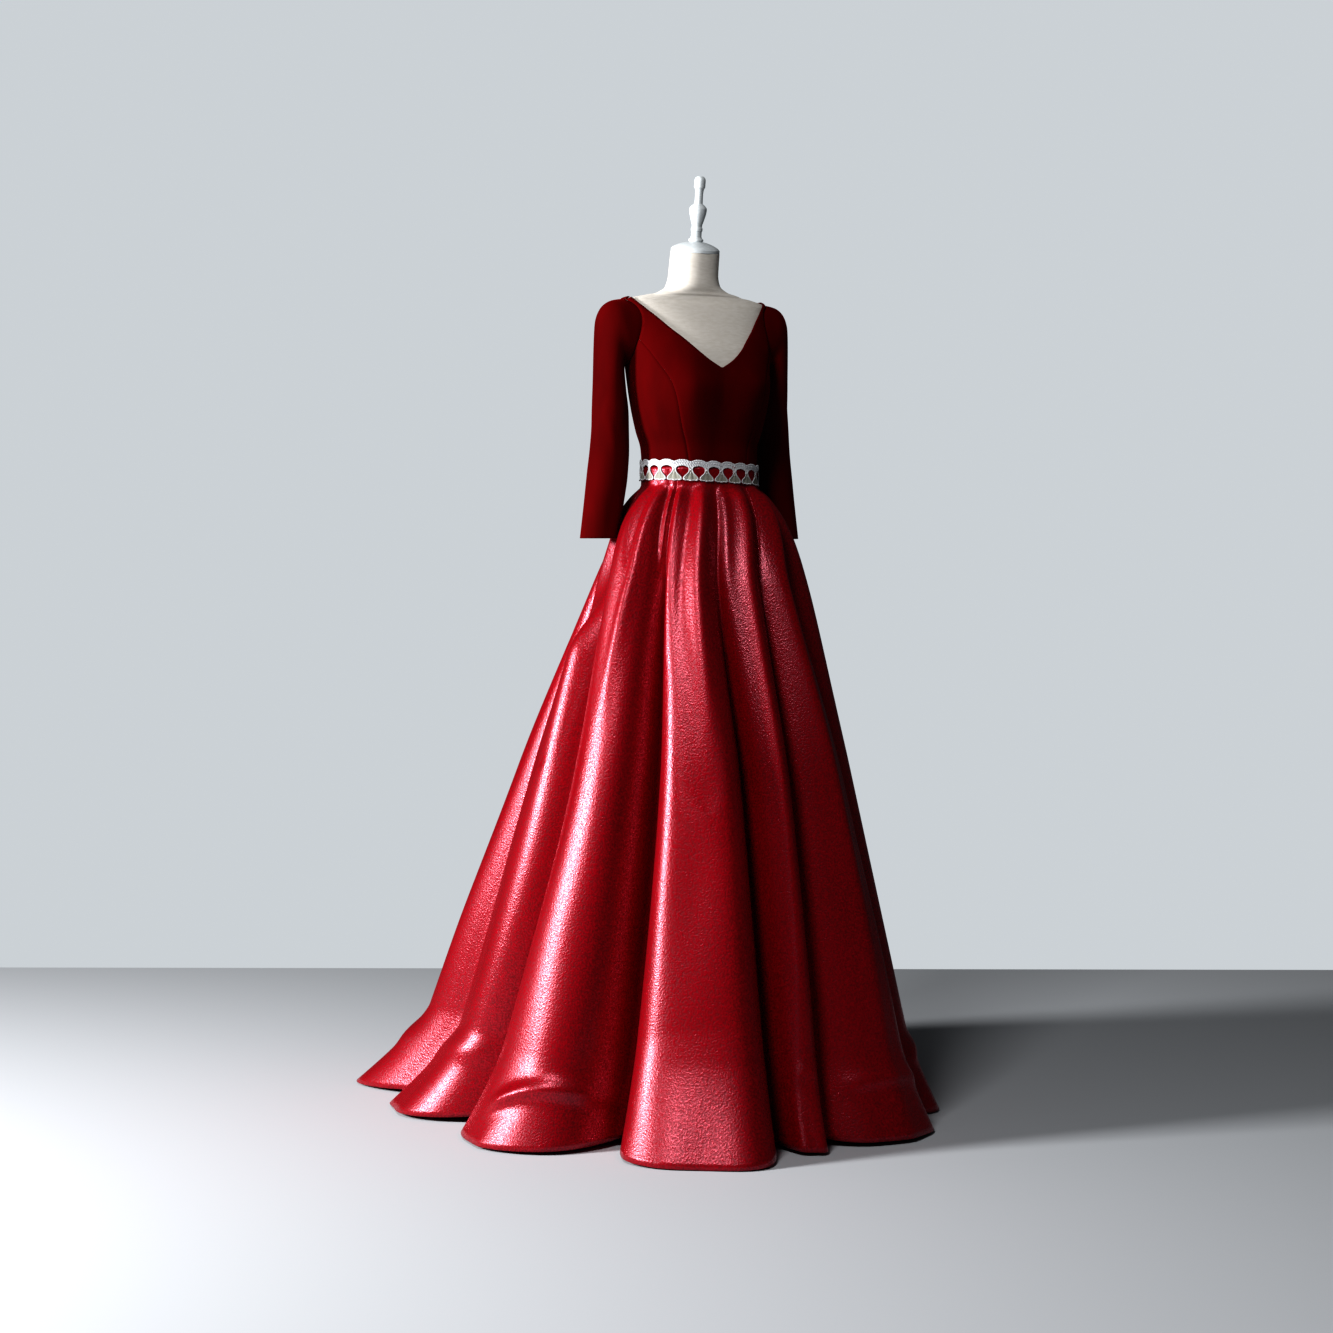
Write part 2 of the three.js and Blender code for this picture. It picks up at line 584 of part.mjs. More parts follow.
// Point on one face of the belt. along counts repeats from the centre back.
function beltPoint(along, z, out) {
  const even = Math.PI + (along / BELT.repeats) * 2 * Math.PI;
  const angle = even - BELT.evenness * Math.sin(2 * even);
  const fullness = 1 + SHOULDER_FULLNESS * Math.sin(2 * angle) ** 2;
  const grow = BELT.standoff + out;
  const x = (WAIST.halfWidth * fullness + grow) * Math.sin(angle);
  const y = WAIST.middle - (WAIST.halfDepth * fullness + grow) * Math.cos(angle);
  return new THREE.Vector3(x, y, z - BELT.tilt * x);
}

// Border of one repeat, counter-clockwise from its lower left corner, as (across, z) with
// across from -0.5 to 0.5.
function beltBorder() {
  const quarters = [-0.5, -0.25, 0, 0.25, 0.5];
  const rise = (across) => (1 + Math.cos(2 * Math.PI * across)) / 2;
  const lower = quarters.map((across) => [across, BELT.bottom + BELT.scallop * rise(across)]);
  const upper = quarters.map((across) => [across, BELT.top - BELT.wave * rise(across)]);
  return [...lower, [0.5, BELT.holeZ], ...upper.reverse(), [-0.5, BELT.holeZ]];
}

// Edge of the opening in the direction of a border point.
function beltOpening([across, z], repeatWidth) {
  const up = (z - BELT.holeZ) / BELT.holeHalfHeight;
  const angle = Math.atan2(up, (across * repeatWidth) / BELT.holeHalfWidth);
  const halfWidth = BELT.holeHalfWidth * (1 + BELT.holeTaper * (Math.sin(angle) - 1));
  const openingZ = BELT.holeZ + BELT.holeHalfHeight * Math.sin(angle);
  return [(halfWidth * Math.cos(angle)) / repeatWidth, openingZ];
}

function beltHalf(from, count) {
  const round = Math.PI * (WAIST.halfWidth + WAIST.halfDepth);
  const repeatWidth = round / BELT.repeats;
  const border = beltBorder();
  const opening = border.map((point) => beltOpening(point, repeatWidth));
  const points = [];
  const index = [];
  const to = from + count;
  const startTrim = (from === 0 ? BELT.endTrim : SEAM / 2) / repeatWidth;
  const endTrim = (to === BELT.repeats ? BELT.endTrim : SEAM / 2) / repeatWidth;
  const size = border.length;
  for (let repeat = from; repeat < to; repeat += 1) {
    const start = points.length;
    for (const out of [CLOTH, 0]) {
      for (const [across, z] of [...border, ...opening]) {
        const along = Math.min(Math.max(repeat + 0.5 + across, from + startTrim), to - endTrim);
        points.push(beltPoint(along, z, out));
      }
    }
    for (let i = 0; i < size; i += 1) {
      const next = (i + 1) % size;
      const outside = [start + i, start + next, start + size + next, start + size + i];
      pushQuad(index, ...outside);
      pushQuad(index, ...outside.map((k) => k + 2 * size).reverse());
      pushQuad(index, outside[3], outside[2], outside[2] + 2 * size, outside[3] + 2 * size);
      const onLeft = border[i][0] === -0.5 && border[next][0] === -0.5;
      const onRight = border[i][0] === 0.5 && border[next][0] === 0.5;
      const joined = (onLeft && repeat > from) || (onRight && repeat < to - 1);
      const [low, high] = outside;
      if (!joined) pushQuad(index, high, low, low + 2 * size, high + 2 * size);
    }
  }
  return mergeVertices(indexedGeometry(points, index), 1e-4);
}

function addBelt() {
  const half = BELT.repeats / 2;
  addPiece('belt_right', beltHalf(0, half), MATERIALS.lace);
  addPiece('belt_left', beltHalf(half, half), MATERIALS.lace);
}

// Solid inside a stack of rings, with a flat lid at each end.
function ringStack(rings) {
  const sides = rings[0].length;
  const points = rings.flat();
  const index = [];
  for (let r = 0; r < rings.length - 1; r += 1) {
    for (let c = 0; c < sides; c += 1) {
      const next = (c + 1) % sides;
      const [low, high] = [r * sides, (r + 1) * sides];
      pushQuad(index, low + c, low + next, high + next, high + c);
    }
  }
  const top = (rings.length - 1) * sides;
  for (let c = 1; c < sides - 1; c += 1) {
    index.push(0, c + 1, c);
    index.push(top, top + c, top + c + 1);
  }
  return indexedGeometry(points, index);
}

// Torso of the form: the body's surface moved in by the cloth and the air under it, with its
// neck cut square to the leaning axis.
function addTorso() {
  const sides = 36;
  const rows = [...HIP_ROWS, ...BODICE_ROWS, ...NECK_ROWS];
  const rings = rows.map((z) => {
    const ring = [];
    for (let i = 0; i < sides; i += 1) {
      const turn = (i / sides) * FULL_TURN;
      const point = bodyPoint(turn, z);
      const range = [BODY[0].z, NECK_TOP.z];
      const normal = normalAt(bodyPoint, turn, z, [-Infinity, Infinity], range, 0.05);
      if (range.includes(z)) normal.setZ(0).normalize();
      const fit = Math.min(1, Math.abs(z - WAIST_Z) / WAIST_GAP_HEIGHT);
      point.addScaledVector(normal, -(CLOTH + mix(WAIST_GAP, FORM_GAP, fit)));
      const lean = smoothStep(z, NECK_BASE_Z, NECK_TOP.z);
      point.z += lean * (point.y - NECK_TOP.y) * Math.tan(radians(NECK_LEAN_DEGREES));
      ring.push(point);
    }
    return ring;
  });
  addPiece('form_torso', ringStack(rings), MATERIALS.linen);
}

// Turned solid from a profile of radii and heights, closed on its axis.
function turned(profile) {
  const first = profile[0];
  const last = profile[profile.length - 1];
  const outline = [
    new THREE.Vector2(0, first.h),
    ...profile.map((point) => new THREE.Vector2(point.r, point.h)),
    new THREE.Vector2(0, last.h),
  ];
  const solid = new THREE.LatheGeometry(outline, TURNED_SIDES);
  solid.rotateX(Math.PI / 2);
  return solid;
}

function addNeckFittings() {
  for (const [name, profile] of [['form_neck_cap', CAP_PROFILE], ['form_finial', FINIAL_PROFILE]]) {
    const solid = turned(profile);
    solid.rotateX(radians(NECK_LEAN_DEGREES));
    solid.translate(0, NECK_TOP.y, NECK_TOP.z);
    addPiece(name, solid, MATERIALS.wood);
  }
}

function addStand() {
  const formBottom = BODY[0].z;
  addPiece('form_pole', turned([
    { r: POLE_RADIUS, h: BASE_HEIGHT + SEAM },
    { r: POLE_RADIUS, h: formBottom - SEAM },
  ]), MATERIALS.steel);
  addPiece('form_base', turned([
    { r: BASE_RADIUS, h: 0 },
    { r: BASE_RADIUS, h: BASE_HEIGHT - BASE_EDGE },
    { r: BASE_RADIUS - BASE_EDGE, h: BASE_HEIGHT },
  ]), MATERIALS.steel);
}

addTorso();
addNeckFittings();
addStand();
addBodice();
addZip();
addSleeve('sleeve_right', -1);
addSleeve('sleeve_left', 1);
addSkirt();
addBelt();

export default gown;
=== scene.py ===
# %% [markdown]
# # A ball gown on a dress form
#
# The gown has a dark velvet bodice with a deep V neck and three-quarter sleeves, a beaded lace
# belt, and a floor-length skirt of red satin laid in soft folds. It stands on a limbless dress
# form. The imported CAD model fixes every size. Here each piece of cloth is made again on the same
# surface, with a finer net, its seams, its creases and its real finish.
#
# We work in millimetres, with the gown's front towards -Y and the wearer's left towards +X, and
# turn the numbers into metres only where a mesh is made.

import bpy
import numpy as np
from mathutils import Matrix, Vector


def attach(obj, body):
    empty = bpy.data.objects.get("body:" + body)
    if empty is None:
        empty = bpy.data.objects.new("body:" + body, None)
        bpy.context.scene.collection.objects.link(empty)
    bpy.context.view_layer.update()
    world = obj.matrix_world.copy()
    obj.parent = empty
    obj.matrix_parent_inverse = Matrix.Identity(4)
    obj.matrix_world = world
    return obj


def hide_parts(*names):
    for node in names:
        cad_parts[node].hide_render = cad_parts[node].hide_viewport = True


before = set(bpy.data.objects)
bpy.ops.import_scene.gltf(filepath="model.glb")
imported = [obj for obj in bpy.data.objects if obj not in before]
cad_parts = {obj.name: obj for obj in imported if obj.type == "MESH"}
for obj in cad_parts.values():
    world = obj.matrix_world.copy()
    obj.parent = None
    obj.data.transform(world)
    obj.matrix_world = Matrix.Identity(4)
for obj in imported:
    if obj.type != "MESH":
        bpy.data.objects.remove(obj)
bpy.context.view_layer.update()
BODY_NAME = "root"

# %% [markdown]
# ## Curves through measured points
#
# A garment's outline is a short table of measured points. A monotone cubic joins them without
# ever overshooting, so a curve drawn through a waist never bulges where the cloth doesn't.


# %% Curves and small helpers
def smooth_through(xs, ys, x):
    """Value at x on a cubic through the points. The slope at an inner point is the harmonic mean
    of the slopes on its two sides, or nothing where they differ in sign. ys may hold rows."""
    xs, ys = np.asarray(xs, float), np.asarray(ys, float)
    x = np.clip(np.asarray(x, float), xs[0], xs[-1])
    tail = (1,) * (ys.ndim - 1)
    slope = np.diff(ys, axis=0) / np.diff(xs).reshape(-1, *tail)
    before, after = slope[:-1], slope[1:]
    total = np.where(before * after > 0, before + after, 1)
    inner = np.where(before * after > 0, 2 * before * after / total, 0)
    tangent = np.concatenate([slope[:1], inner, slope[-1:]])
    i = np.clip(np.searchsorted(xs, x) - 1, 0, len(xs) - 2)
    span = (xs[i + 1] - xs[i]).reshape(*x.shape, *tail)
    t = ((x - xs[i]) / (xs[i + 1] - xs[i])).reshape(*x.shape, *tail)
    rise, start, end = ys[i + 1] - ys[i], tangent[i] * span, tangent[i + 1] * span
    cubic = (start + end - 2 * rise) * t**3
    return ys[i] + start * t + (3 * rise - 2 * start - end) * t**2 + cubic


def mix(a, b, share):
    """Straight-line blend from a at share 0 to b at share 1."""
    return a + (b - a) * share


def smooth_step(x, low, high):
    """0 below low, 1 above high, and 3t squared less 2t cubed between them."""
    t = np.clip((x - low) / (high - low), 0, 1)
    return t * t * (3 - 2 * t)


def bump(x, width):
    """Bell of height 1: e to the power of minus (x / width) squared."""
    return np.exp(-((x / width) ** 2))


def net_normals(points, closed=False):
    """Unit normals of a net of points, from the cross product of its two directions."""
    around = np.concatenate([points[:, -1:], points, points[:, :1]], axis=1) if closed else points
    across = np.gradient(around, axis=1)[:, 1:-1] if closed else np.gradient(points, axis=1)
    up = np.gradient(points, axis=0)
    normal = np.cross(across, up)
    return normal / np.maximum(np.linalg.norm(normal, axis=-1, keepdims=True), 1e-9)


def net_faces(rows, columns, closed=False):
    """Quads of a net, counter-clockwise seen from outside, with its last column joined to its
    first where it is closed."""
    r, c = np.meshgrid(np.arange(rows - 1), np.arange(columns - (not closed)), indexing="ij")
    after = (c + 1) % columns
    low, high = r * columns, (r + 1) * columns
    return np.stack([low + c, low + after, high + after, high + c], axis=-1).reshape(-1, 4)


# %% [markdown]
# ## A piece from a net of points
#
# Every piece of cloth is one net of points with an outward side. Solidify then gives the net
# its thickness towards the inside, so the outer face stays exactly where the CAD model has it.


# %% Make a mesh piece
def make_piece(name, points, faces, material, uv=None, values=None):
    """A mesh object from points in millimetres. uv holds one pair a point, and values one named
    number a point, which a material can read."""
    mesh = bpy.data.meshes.new(name)
    points = np.asarray(points, float).reshape(-1, 3)
    mesh.vertices.add(len(points))
    mesh.vertices.foreach_set("co", (points / 1000).ravel())
    size = faces.shape[1]
    mesh.loops.add(faces.size)
    mesh.loops.foreach_set("vertex_index", faces.ravel())
    mesh.polygons.add(len(faces))
    mesh.polygons.foreach_set("loop_start", np.arange(0, faces.size, size))
    mesh.polygons.foreach_set("use_smooth", np.ones(len(faces), bool))
    mesh.update(calc_edges=True)
    if uv is not None:
        layer = mesh.uv_layers.new(name="cloth")
        layer.uv.foreach_set("vector", np.asarray(uv, float).reshape(-1, 2)[faces.ravel()].ravel())
    for label, numbers in (values or {}).items():
        attribute = mesh.attributes.new(label, "FLOAT", "POINT")
        attribute.data.foreach_set("value", np.asarray(numbers, float).ravel())
    mesh.validate()
    piece = bpy.data.objects.new(name, mesh)
    bpy.context.scene.collection.objects.link(piece)
    piece.data.materials.append(material)
    return piece


CUTS = {}


def reach_of(lengths, stays):
    """The longest stretch along axis 1, from the first cell that stays to the last one."""
    end = np.cumsum(lengths, axis=1)
    last = np.where(stays, end, 0).max(axis=1)
    first = np.where(stays, end - lengths, np.inf).min(axis=1)
    return np.maximum(last - first, 0).max()


def note_cut(name, net, closed=False, stays=None):
    """Notes the flat size in metres that a net of cloth unrolls to: its longest row, all round
    where it is a tube, and its longest column, over the cells that stay."""
    around = np.concatenate([net, net[:, :1]], axis=1) if closed else net
    if stays is None:
        stays = np.ones((around.shape[0] - 1, around.shape[1] - 1), bool)
    across = np.linalg.norm(np.diff(around, axis=1), axis=-1)[:-1]
    down = np.linalg.norm(np.diff(around, axis=0), axis=-1)[:, :-1]
    CUTS[name] = (reach_of(across, stays) / 1000, reach_of(down.T, stays.T) / 1000)


def thicken(piece, millimetres):
    """Gives a net its wall, inwards from the outer face."""
    wall = piece.modifiers.new("wall", "SOLIDIFY")
    wall.thickness = millimetres / 1000
    wall.offset = -1
    wall.use_quality_normals = True
    return piece


def stand_for(piece, slot, *nodes):
    """The piece takes the place of these CAD nodes, which are hidden. slot is not used."""
    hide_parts(*nodes)
    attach(piece, BODY_NAME)
    print(piece.name, len(piece.data.vertices), "points")
    return piece


# %% [markdown]
# ## Materials
#
# Colours are written as the sRGB values a screen shows and turned to linear light once, here.
# One function adds a shader node with its settings and links.


# %% Colour and node helpers
def colour(code):
    """Linear red, green, blue and 1 from an sRGB code such as 5a0510."""
    parts = np.array([int(code[i : i + 2], 16) for i in (0, 2, 4)]) / 255
    linear = np.where(parts <= 0.04045, parts / 12.92, ((parts + 0.055) / 1.055) ** 2.4)
    return (*linear.tolist(), 1.0)


def new_material(name):
    """A material with its node tree and its Principled shader."""
    material = bpy.data.materials.new(name)
    material.use_nodes = True
    return material, material.node_tree, material.node_tree.nodes["Principled BSDF"]


def add_node(tree, kind, values=(), links=(), **settings):
    """One shader node. values are (socket, number) pairs and links are (socket, source) pairs."""
    made = tree.nodes.new(kind)
    for key, value in settings.items():
        setattr(made, key, value)
    for socket, value in values:
        made.inputs[socket].default_value = value
    for socket, source in links:
        tree.links.new(source, made.inputs[socket])
    return made


def set_shader(shader, **values):
    """Sets sockets of the Principled shader by their names, with _ for each space."""
    for name, value in values.items():
        shader.inputs[name.replace("_", " ")].default_value = value


def ramp(tree, source, *stops):
    """Colour Ramp through (place, colour) stops."""
    made = add_node(tree, "ShaderNodeValToRGB", links=[("Fac", source)])
    points = made.color_ramp.elements
    while len(points) < len(stops):
        points.new(0.5)
    for point, (place, code) in zip(points, stops):
        point.position, point.color = place, colour(code)
    return made.outputs["Color"]


def remap(tree, source, low, high, to_low, to_high):
    """Map Range: a number from low..high to to_low..to_high, held at the ends."""
    values = [("From Min", low), ("From Max", high), ("To Min", to_low), ("To Max", to_high)]
    return add_node(tree, "ShaderNodeMapRange", values, [("Value", source)]).outputs["Result"]


def noise(tree, place, size_mm, detail=2.0, stretch=None):
    """Noise whose blobs are about size_mm wide, from the object's own coordinates in metres."""
    if stretch:
        place = add_node(
            tree, "ShaderNodeMapping", [("Scale", stretch)], [("Vector", place)]
        ).outputs["Vector"]
    values = [("Scale", 1000 / size_mm), ("Detail", detail)]
    return add_node(tree, "ShaderNodeTexNoise", values, [("Vector", place)]).outputs["Fac"]


def bump_from(tree, shader, *layers):
    """Chains Bump nodes, each a (height, depth in millimetres, strength), into the normal."""
    normal = None
    for height, depth, strength in layers:
        links = [("Height", height)] + ([("Normal", normal)] if normal else [])
        values = [("Distance", depth / 1000), ("Strength", strength)]
        normal = add_node(tree, "ShaderNodeBump", values, links).outputs["Normal"]
    tree.links.new(normal, shader.inputs["Normal"])


def object_place(tree):
    """The object's own coordinates, in metres."""
    return add_node(tree, "ShaderNodeTexCoord").outputs["Object"]


def tell(*materials):
    """Prints each material's name and its number of nodes."""
    for material in materials:
        print(material.name, len(material.node_tree.nodes), "nodes")


# %% [markdown]
# ## Velvet
#
# The bodice and sleeves are polyester velvet: a cut pile about 1.5 mm high that stands nearly
# upright on a knitted ground. Seen face on it swallows light and looks almost black-red. At a
# grazing angle the sides of the pile shine. Hair could stand for the pile, but a million strands
# would show no more from a few steps away than the shader's sheen does.


# %% Velvet material
def make_velvet():
    """Cut-pile velvet: dark base, strong sheen at the edges, soft blotches where the pile was
    brushed, and a pile grain of 1.2 mm, drawn coarser than the real 0.2 mm so that it shows."""
    material, tree, shader = new_material("velvet_dark_red")
    place = object_place(tree)
    brushed = noise(tree, place, 90, 3, (1, 1, 0.35))
    pile = noise(tree, place, 1.2, 2, (1, 1, 0.6))
    shade = ramp(tree, brushed, (0.3, "4a0002"), (0.7, "660003"))
    tree.links.new(shade, shader.inputs["Base Color"])
    set_shader(
        shader,
        Roughness=0.85,
        Specular_IOR_Level=0.06,
        Sheen_Weight=0.45,
        Sheen_Roughness=0.32,
        Sheen_Tint=colour("a4000a"),
    )
    bump_from(tree, shader, (pile, 0.35, 0.5), (brushed, 2.0, 0.15))
    return material


velvet = make_velvet()
tell(velvet)

# %% [markdown]
# ## Satin
#
# The skirt is a heavy duchess satin with a fine glitter grain. Long floats of bright yarn lie on
# its face, so each fold has one soft band of light, broken up by the grain, and its valleys go
# nearly black. The highlights keep some of the red, because the light also passes through dyed
# yarn. A weave drawn at its real size would be finer than a pixel, so three sizes of noise stand
# for the glitter, the yarn and its floats.


# %% Satin material
def make_satin():
    """Duchess satin: deep red, half-gloss, with pink highlights. The grain is 3.4 mm wide, drawn
    coarser than the real 1 mm so that it shows, and the floats run down the skirt."""
    material, tree, shader = new_material("satin_red")
    place = object_place(tree)
    grain = noise(tree, place, 3.4, 2)
    fine = noise(tree, place, 1.6, 1)
    floats = noise(tree, place, 9, 3, (1, 1, 0.12))
    cloudy = noise(tree, place, 260, 2)
    shade = ramp(tree, cloudy, (0.3, "700005"), (0.7, "820009"))
    speck = remap(tree, grain, 0.35, 0.68, 0, 1)
    speckled = add_node(
        tree,
        "ShaderNodeMix",
        [("B", colour("a8061e"))],
        [("Factor", speck), ("A", shade)],
        data_type="RGBA",
    )
    tree.links.new(speckled.outputs["Result"], shader.inputs["Base Color"])
    tree.links.new(remap(tree, grain, 0.3, 0.7, 0.42, 0.2), shader.inputs["Roughness"])
    set_shader(
        shader,
        Metallic=0.12,
        Specular_IOR_Level=1.0,
        Specular_Tint=colour("ffbdd0"),
        Anisotropic=0.4,
    )
    bump_from(tree, shader, (grain, 0.95, 0.65), (fine, 0.35, 0.5), (floats, 0.6, 0.2))
    return material


satin = make_satin()
tell(satin)

# %% [markdown]
# ## The body's surface
#
# A dressmaker pads a form to a set of girths. The bodice lies on it, so its outer face is one
# surface: at each height an oval with its own half width and its own depth to the front and to
# the back, a little fuller between those four directions, with a swell for the bust. It could be
# sculpted, but one table keeps all five panels on the same surface, so their seams close.

# %% Body table and surface, in millimetres
CLOTH = 2.0
FORM_GAP = 1.4
WAIST_GAP = 0.95
WAIST_Z = 1220
# Columns: height, half width, depth to the front, depth to the back
BODY = np.array([
    (926, 134, 92, 94), (932, 148, 104, 106), (960, 156, 110, 113), (1000, 156, 110, 113),
    (1045, 149, 106, 111), (1090, 136, 98, 103), (1140, 120, 94, 92), (1184, 111, 93, 83),
    (1220, 111, 93, 83), (1236, 111, 92, 83), (1256, 112, 91, 84.5), (1290, 122, 96, 90),
    (1328, 131, 101, 94), (1370, 138, 104, 98), (1403, 141, 98, 101), (1437, 144, 89, 103),
    (1458, 146, 78, 103), (1479, 149, 65, 101), (1498, 152, 53, 95), (1515, 154, 42, 87),
    (1528, 154, 33, 76), (1537, 148, 26, 66), (1542, 131, 24, 62), (1549, 98, 24, 66),
    (1556, 70, 26, 71), (1566, 54, 28, 75), (1584, 49, 29, 71), (1628, 48, 35, 61),
])
FULLNESS = 0.05
BUST = {"x": 68, "z": 1362, "width": 44, "height": 50, "rise": 15}


def body_sizes(z):
    """Half width, depth to the front and depth to the back at a height."""
    return np.moveaxis(smooth_through(BODY[:, 0], BODY[:, 1:], z), -1, 0)


def body_point(turn, z):
    """Outer face at an angle in degrees from the centre front towards the wearer's left.
    x is the half width times the sine; y is minus the half depth times the cosine, moved by
    half the difference of back and front, less the bust's bell."""
    angle = np.radians(turn)
    half_width, front, back = body_sizes(z)
    fullness = 1 + FULLNESS * np.sin(2 * angle) ** 2
    x = half_width * np.sin(angle) * fullness
    y = (back - front) / 2 - (front + back) / 2 * np.cos(angle) * fullness
    swell = bump(np.abs(x) - BUST["x"], BUST["width"]) * bump(z - BUST["z"], BUST["height"])
    y = y - BUST["rise"] * swell * np.maximum(0, np.cos(angle))
    return np.stack(np.broadcast_arrays(x, y, z), axis=-1)


WAIST_POINTS = 721
waist_line = body_point(np.linspace(0, 360, WAIST_POINTS), float(WAIST_Z))
waist_girth = np.linalg.norm(np.diff(waist_line, axis=0), axis=1).sum()
print("waist girth over the cloth", round(waist_girth), "mm")

# %% [markdown]
# ## Cutting a panel out of a net
#
# A bodice panel runs between two seams, and its neck edge and armhole cut across its net. We
# keep the cells inside the cutting line, then slide the points on the border onto the line, as
# shears would leave it. A boolean would cut it too, but would leave long thin triangles there.
# Each panel's edges turn in a little, which makes the seam's groove.

# %% Necklines, armhole and the cutting line
# Columns: distance from the middle, height
FRONT_NECK = np.array([
    (0, 1403), (24, 1418), (46, 1437), (65, 1457), (87, 1479), (104, 1498), (123, 1518),
    (139, 1537), (145, 1552),
])
BACK_NECK = np.array([
    (0, 1478), (40, 1482), (80, 1495), (112, 1513), (130, 1527), (139, 1537), (145, 1552),
])
SHOULDER_SEAM_Y = 21
ARMHOLE = {"y": 20, "half_depth": 47, "low": 1412, "high": 1535, "near_x": 90, "ease": 0.6}
ARMHOLE_MIDDLE = (ARMHOLE["low"] + ARMHOLE["high"]) / 2
ARMHOLE_HALF = (ARMHOLE["high"] - ARMHOLE["low"]) / 2
NECK_SLOPE = 0.75
FAR_FROM_ARMHOLE = 99.0
CUT_STEPS, NUDGE, LONGEST_STEP, LEAST_SLOPE = 5, 0.02, 3, 0.2
# Columns: height, angle
PRINCESS = np.array([
    (1220, 31.5), (1252, 33), (1292, 36), (1376, 43), (1420, 53), (1455, 65), (1476, 76),
    (1503, 88), (1515, 90), (1542, 90),
])


def inside_cut(turn, z):
    """Millimetres, roughly, from the nearest cutting line: positive on the cloth that stays. It
    is the smaller of the drop below the neck edge and the distance outside the armhole's oval."""
    x, y, _ = np.moveaxis(body_point(turn, z), -1, 0)
    front = smooth_through(FRONT_NECK[:, 0], FRONT_NECK[:, 1], np.abs(x))
    back = smooth_through(BACK_NECK[:, 0], BACK_NECK[:, 1], np.abs(x))
    below_neck = (np.where(y < SHOULDER_SEAM_Y, front, back) - z) * NECK_SLOPE
    across = (y - ARMHOLE["y"]) / (ARMHOLE["half_depth"] + ARMHOLE["ease"])
    upright = (z - ARMHOLE_MIDDLE) / (ARMHOLE_HALF + ARMHOLE["ease"])
    beyond = (np.hypot(across, upright) - 1) * ARMHOLE["half_depth"]
    near_armhole = np.abs(x) > ARMHOLE["near_x"]
    return np.minimum(below_neck, np.where(near_armhole, beyond, FAR_FROM_ARMHOLE))


def cut_net(u, z, inside, width):
    """Moves the points beside the cutting line onto it along the line's own gradient, in a few
    steps, and returns the net with the mask of the cells that stay. inside(u, z) is positive on the
    cloth that stays, and width is the millimetres that u runs over from 0 to 1."""
    value = inside(u, z)
    stays = value[:-1, :-1] + value[1:, :-1] + value[:-1, 1:] + value[1:, 1:] > 0
    wide = np.pad(stays, 1, mode="edge")
    corners = np.stack([wide[:-1, :-1], wide[:-1, 1:], wide[1:, :-1], wide[1:, 1:]])
    border = corners.any(axis=0) & ~corners.all(axis=0)
    free = (u > u.min()) & (u < u.max())
    for _ in range(CUT_STEPS):
        value = inside(u, z)
        along = (inside(u + NUDGE / width, z) - value) / NUDGE * free
        up = (inside(u, z + NUDGE) - value) / NUDGE
        slope = np.maximum(along**2 + up**2, LEAST_SLOPE)
        step = border * np.clip(value, -LONGEST_STEP, LONGEST_STEP) / slope
        u, z = u - step * along / width, z - step * up
    return np.clip(u, 0, 1), z, stays


# %% Bodice panels
SEAM_TRIM = 0.08
SEAM_GROOVE = {"depth": 0.9, "width": 2.2}
EDGE_ROLL = {"rise": 0.5, "in": 1.8}
SEAM_CELLS = (0, 0.8, 2.0, 3.6)
PANEL_CELL = 2.6
CLOTH_PER_DEGREE = 2.2
ON_SEAM = 0.01


def edge_spaced(width):
    """Fractions from 0 to 1 that cut a width into even cells, and three fine ones at each seam."""
    seam = np.array(SEAM_CELLS) / width
    middle = np.linspace(seam[-1], 1 - seam[-1], max(3, int(width / PANEL_CELL)))
    return np.concatenate([seam[:-1], middle, 1 - seam[-2::-1]])


def bodice_panel(name, from_turn, to_turn, low, high, width, node):
    """One panel: a net between two seam lines, cut at the neck and armhole, its two seam edges
    sunk by a bell of the distance from the seam."""
    u, z = np.meshgrid(edge_spaced(width), np.linspace(low, high, int((high - low) / PANEL_CELL)))

    def turn_at(share, height):
        return mix(from_turn(height), to_turn(height), share)

    def inside(share, height):
        return inside_cut(turn_at(share, height), height)

    u, z, stays = cut_net(u, z, inside, width)
    turn = turn_at(u, z)
    points = body_point(turn, z)
    span = np.linalg.norm(np.diff(points, axis=1), axis=-1).sum(axis=1, keepdims=True)
    from_seam = np.minimum(u, 1 - u) * span
    sunk = SEAM_GROOVE["depth"] * bump(from_seam, SEAM_GROOVE["width"])
    inward = np.sign(0.5 - u) * SEAM_TRIM * (from_seam < ON_SEAM)
    normal = net_normals(points)
    side = np.gradient(points, axis=1)
    side /= np.maximum(np.linalg.norm(side, axis=-1, keepdims=True), 1e-9)
    rolled = EDGE_ROLL["rise"] * bump(inside(u, z) - EDGE_ROLL["in"], EDGE_ROLL["in"])
    points = points + normal * (rolled - sunk)[..., None] + side * inward[..., None]
    faces = net_faces(*u.shape)[stays.ravel()]
    used, faces = np.unique(faces, return_inverse=True)
    uv = np.stack([turn * CLOTH_PER_DEGREE, z], axis=-1).reshape(-1, 2)[used] / 1000
    piece = make_piece(name, points.reshape(-1, 3)[used], faces.reshape(-1, 4), velvet, uv)
    note_cut(name, points, stays=stays)
    return stand_for(thicken(piece, CLOTH), "velvet", node)


def princess(z):
    """Angle of the princess seam at a height."""
    return smooth_through(PRINCESS[:, 0], PRINCESS[:, 1], z)


def straight(turn):
    """A seam that stays at one angle at every height."""
    return lambda z: turn + 0 * z


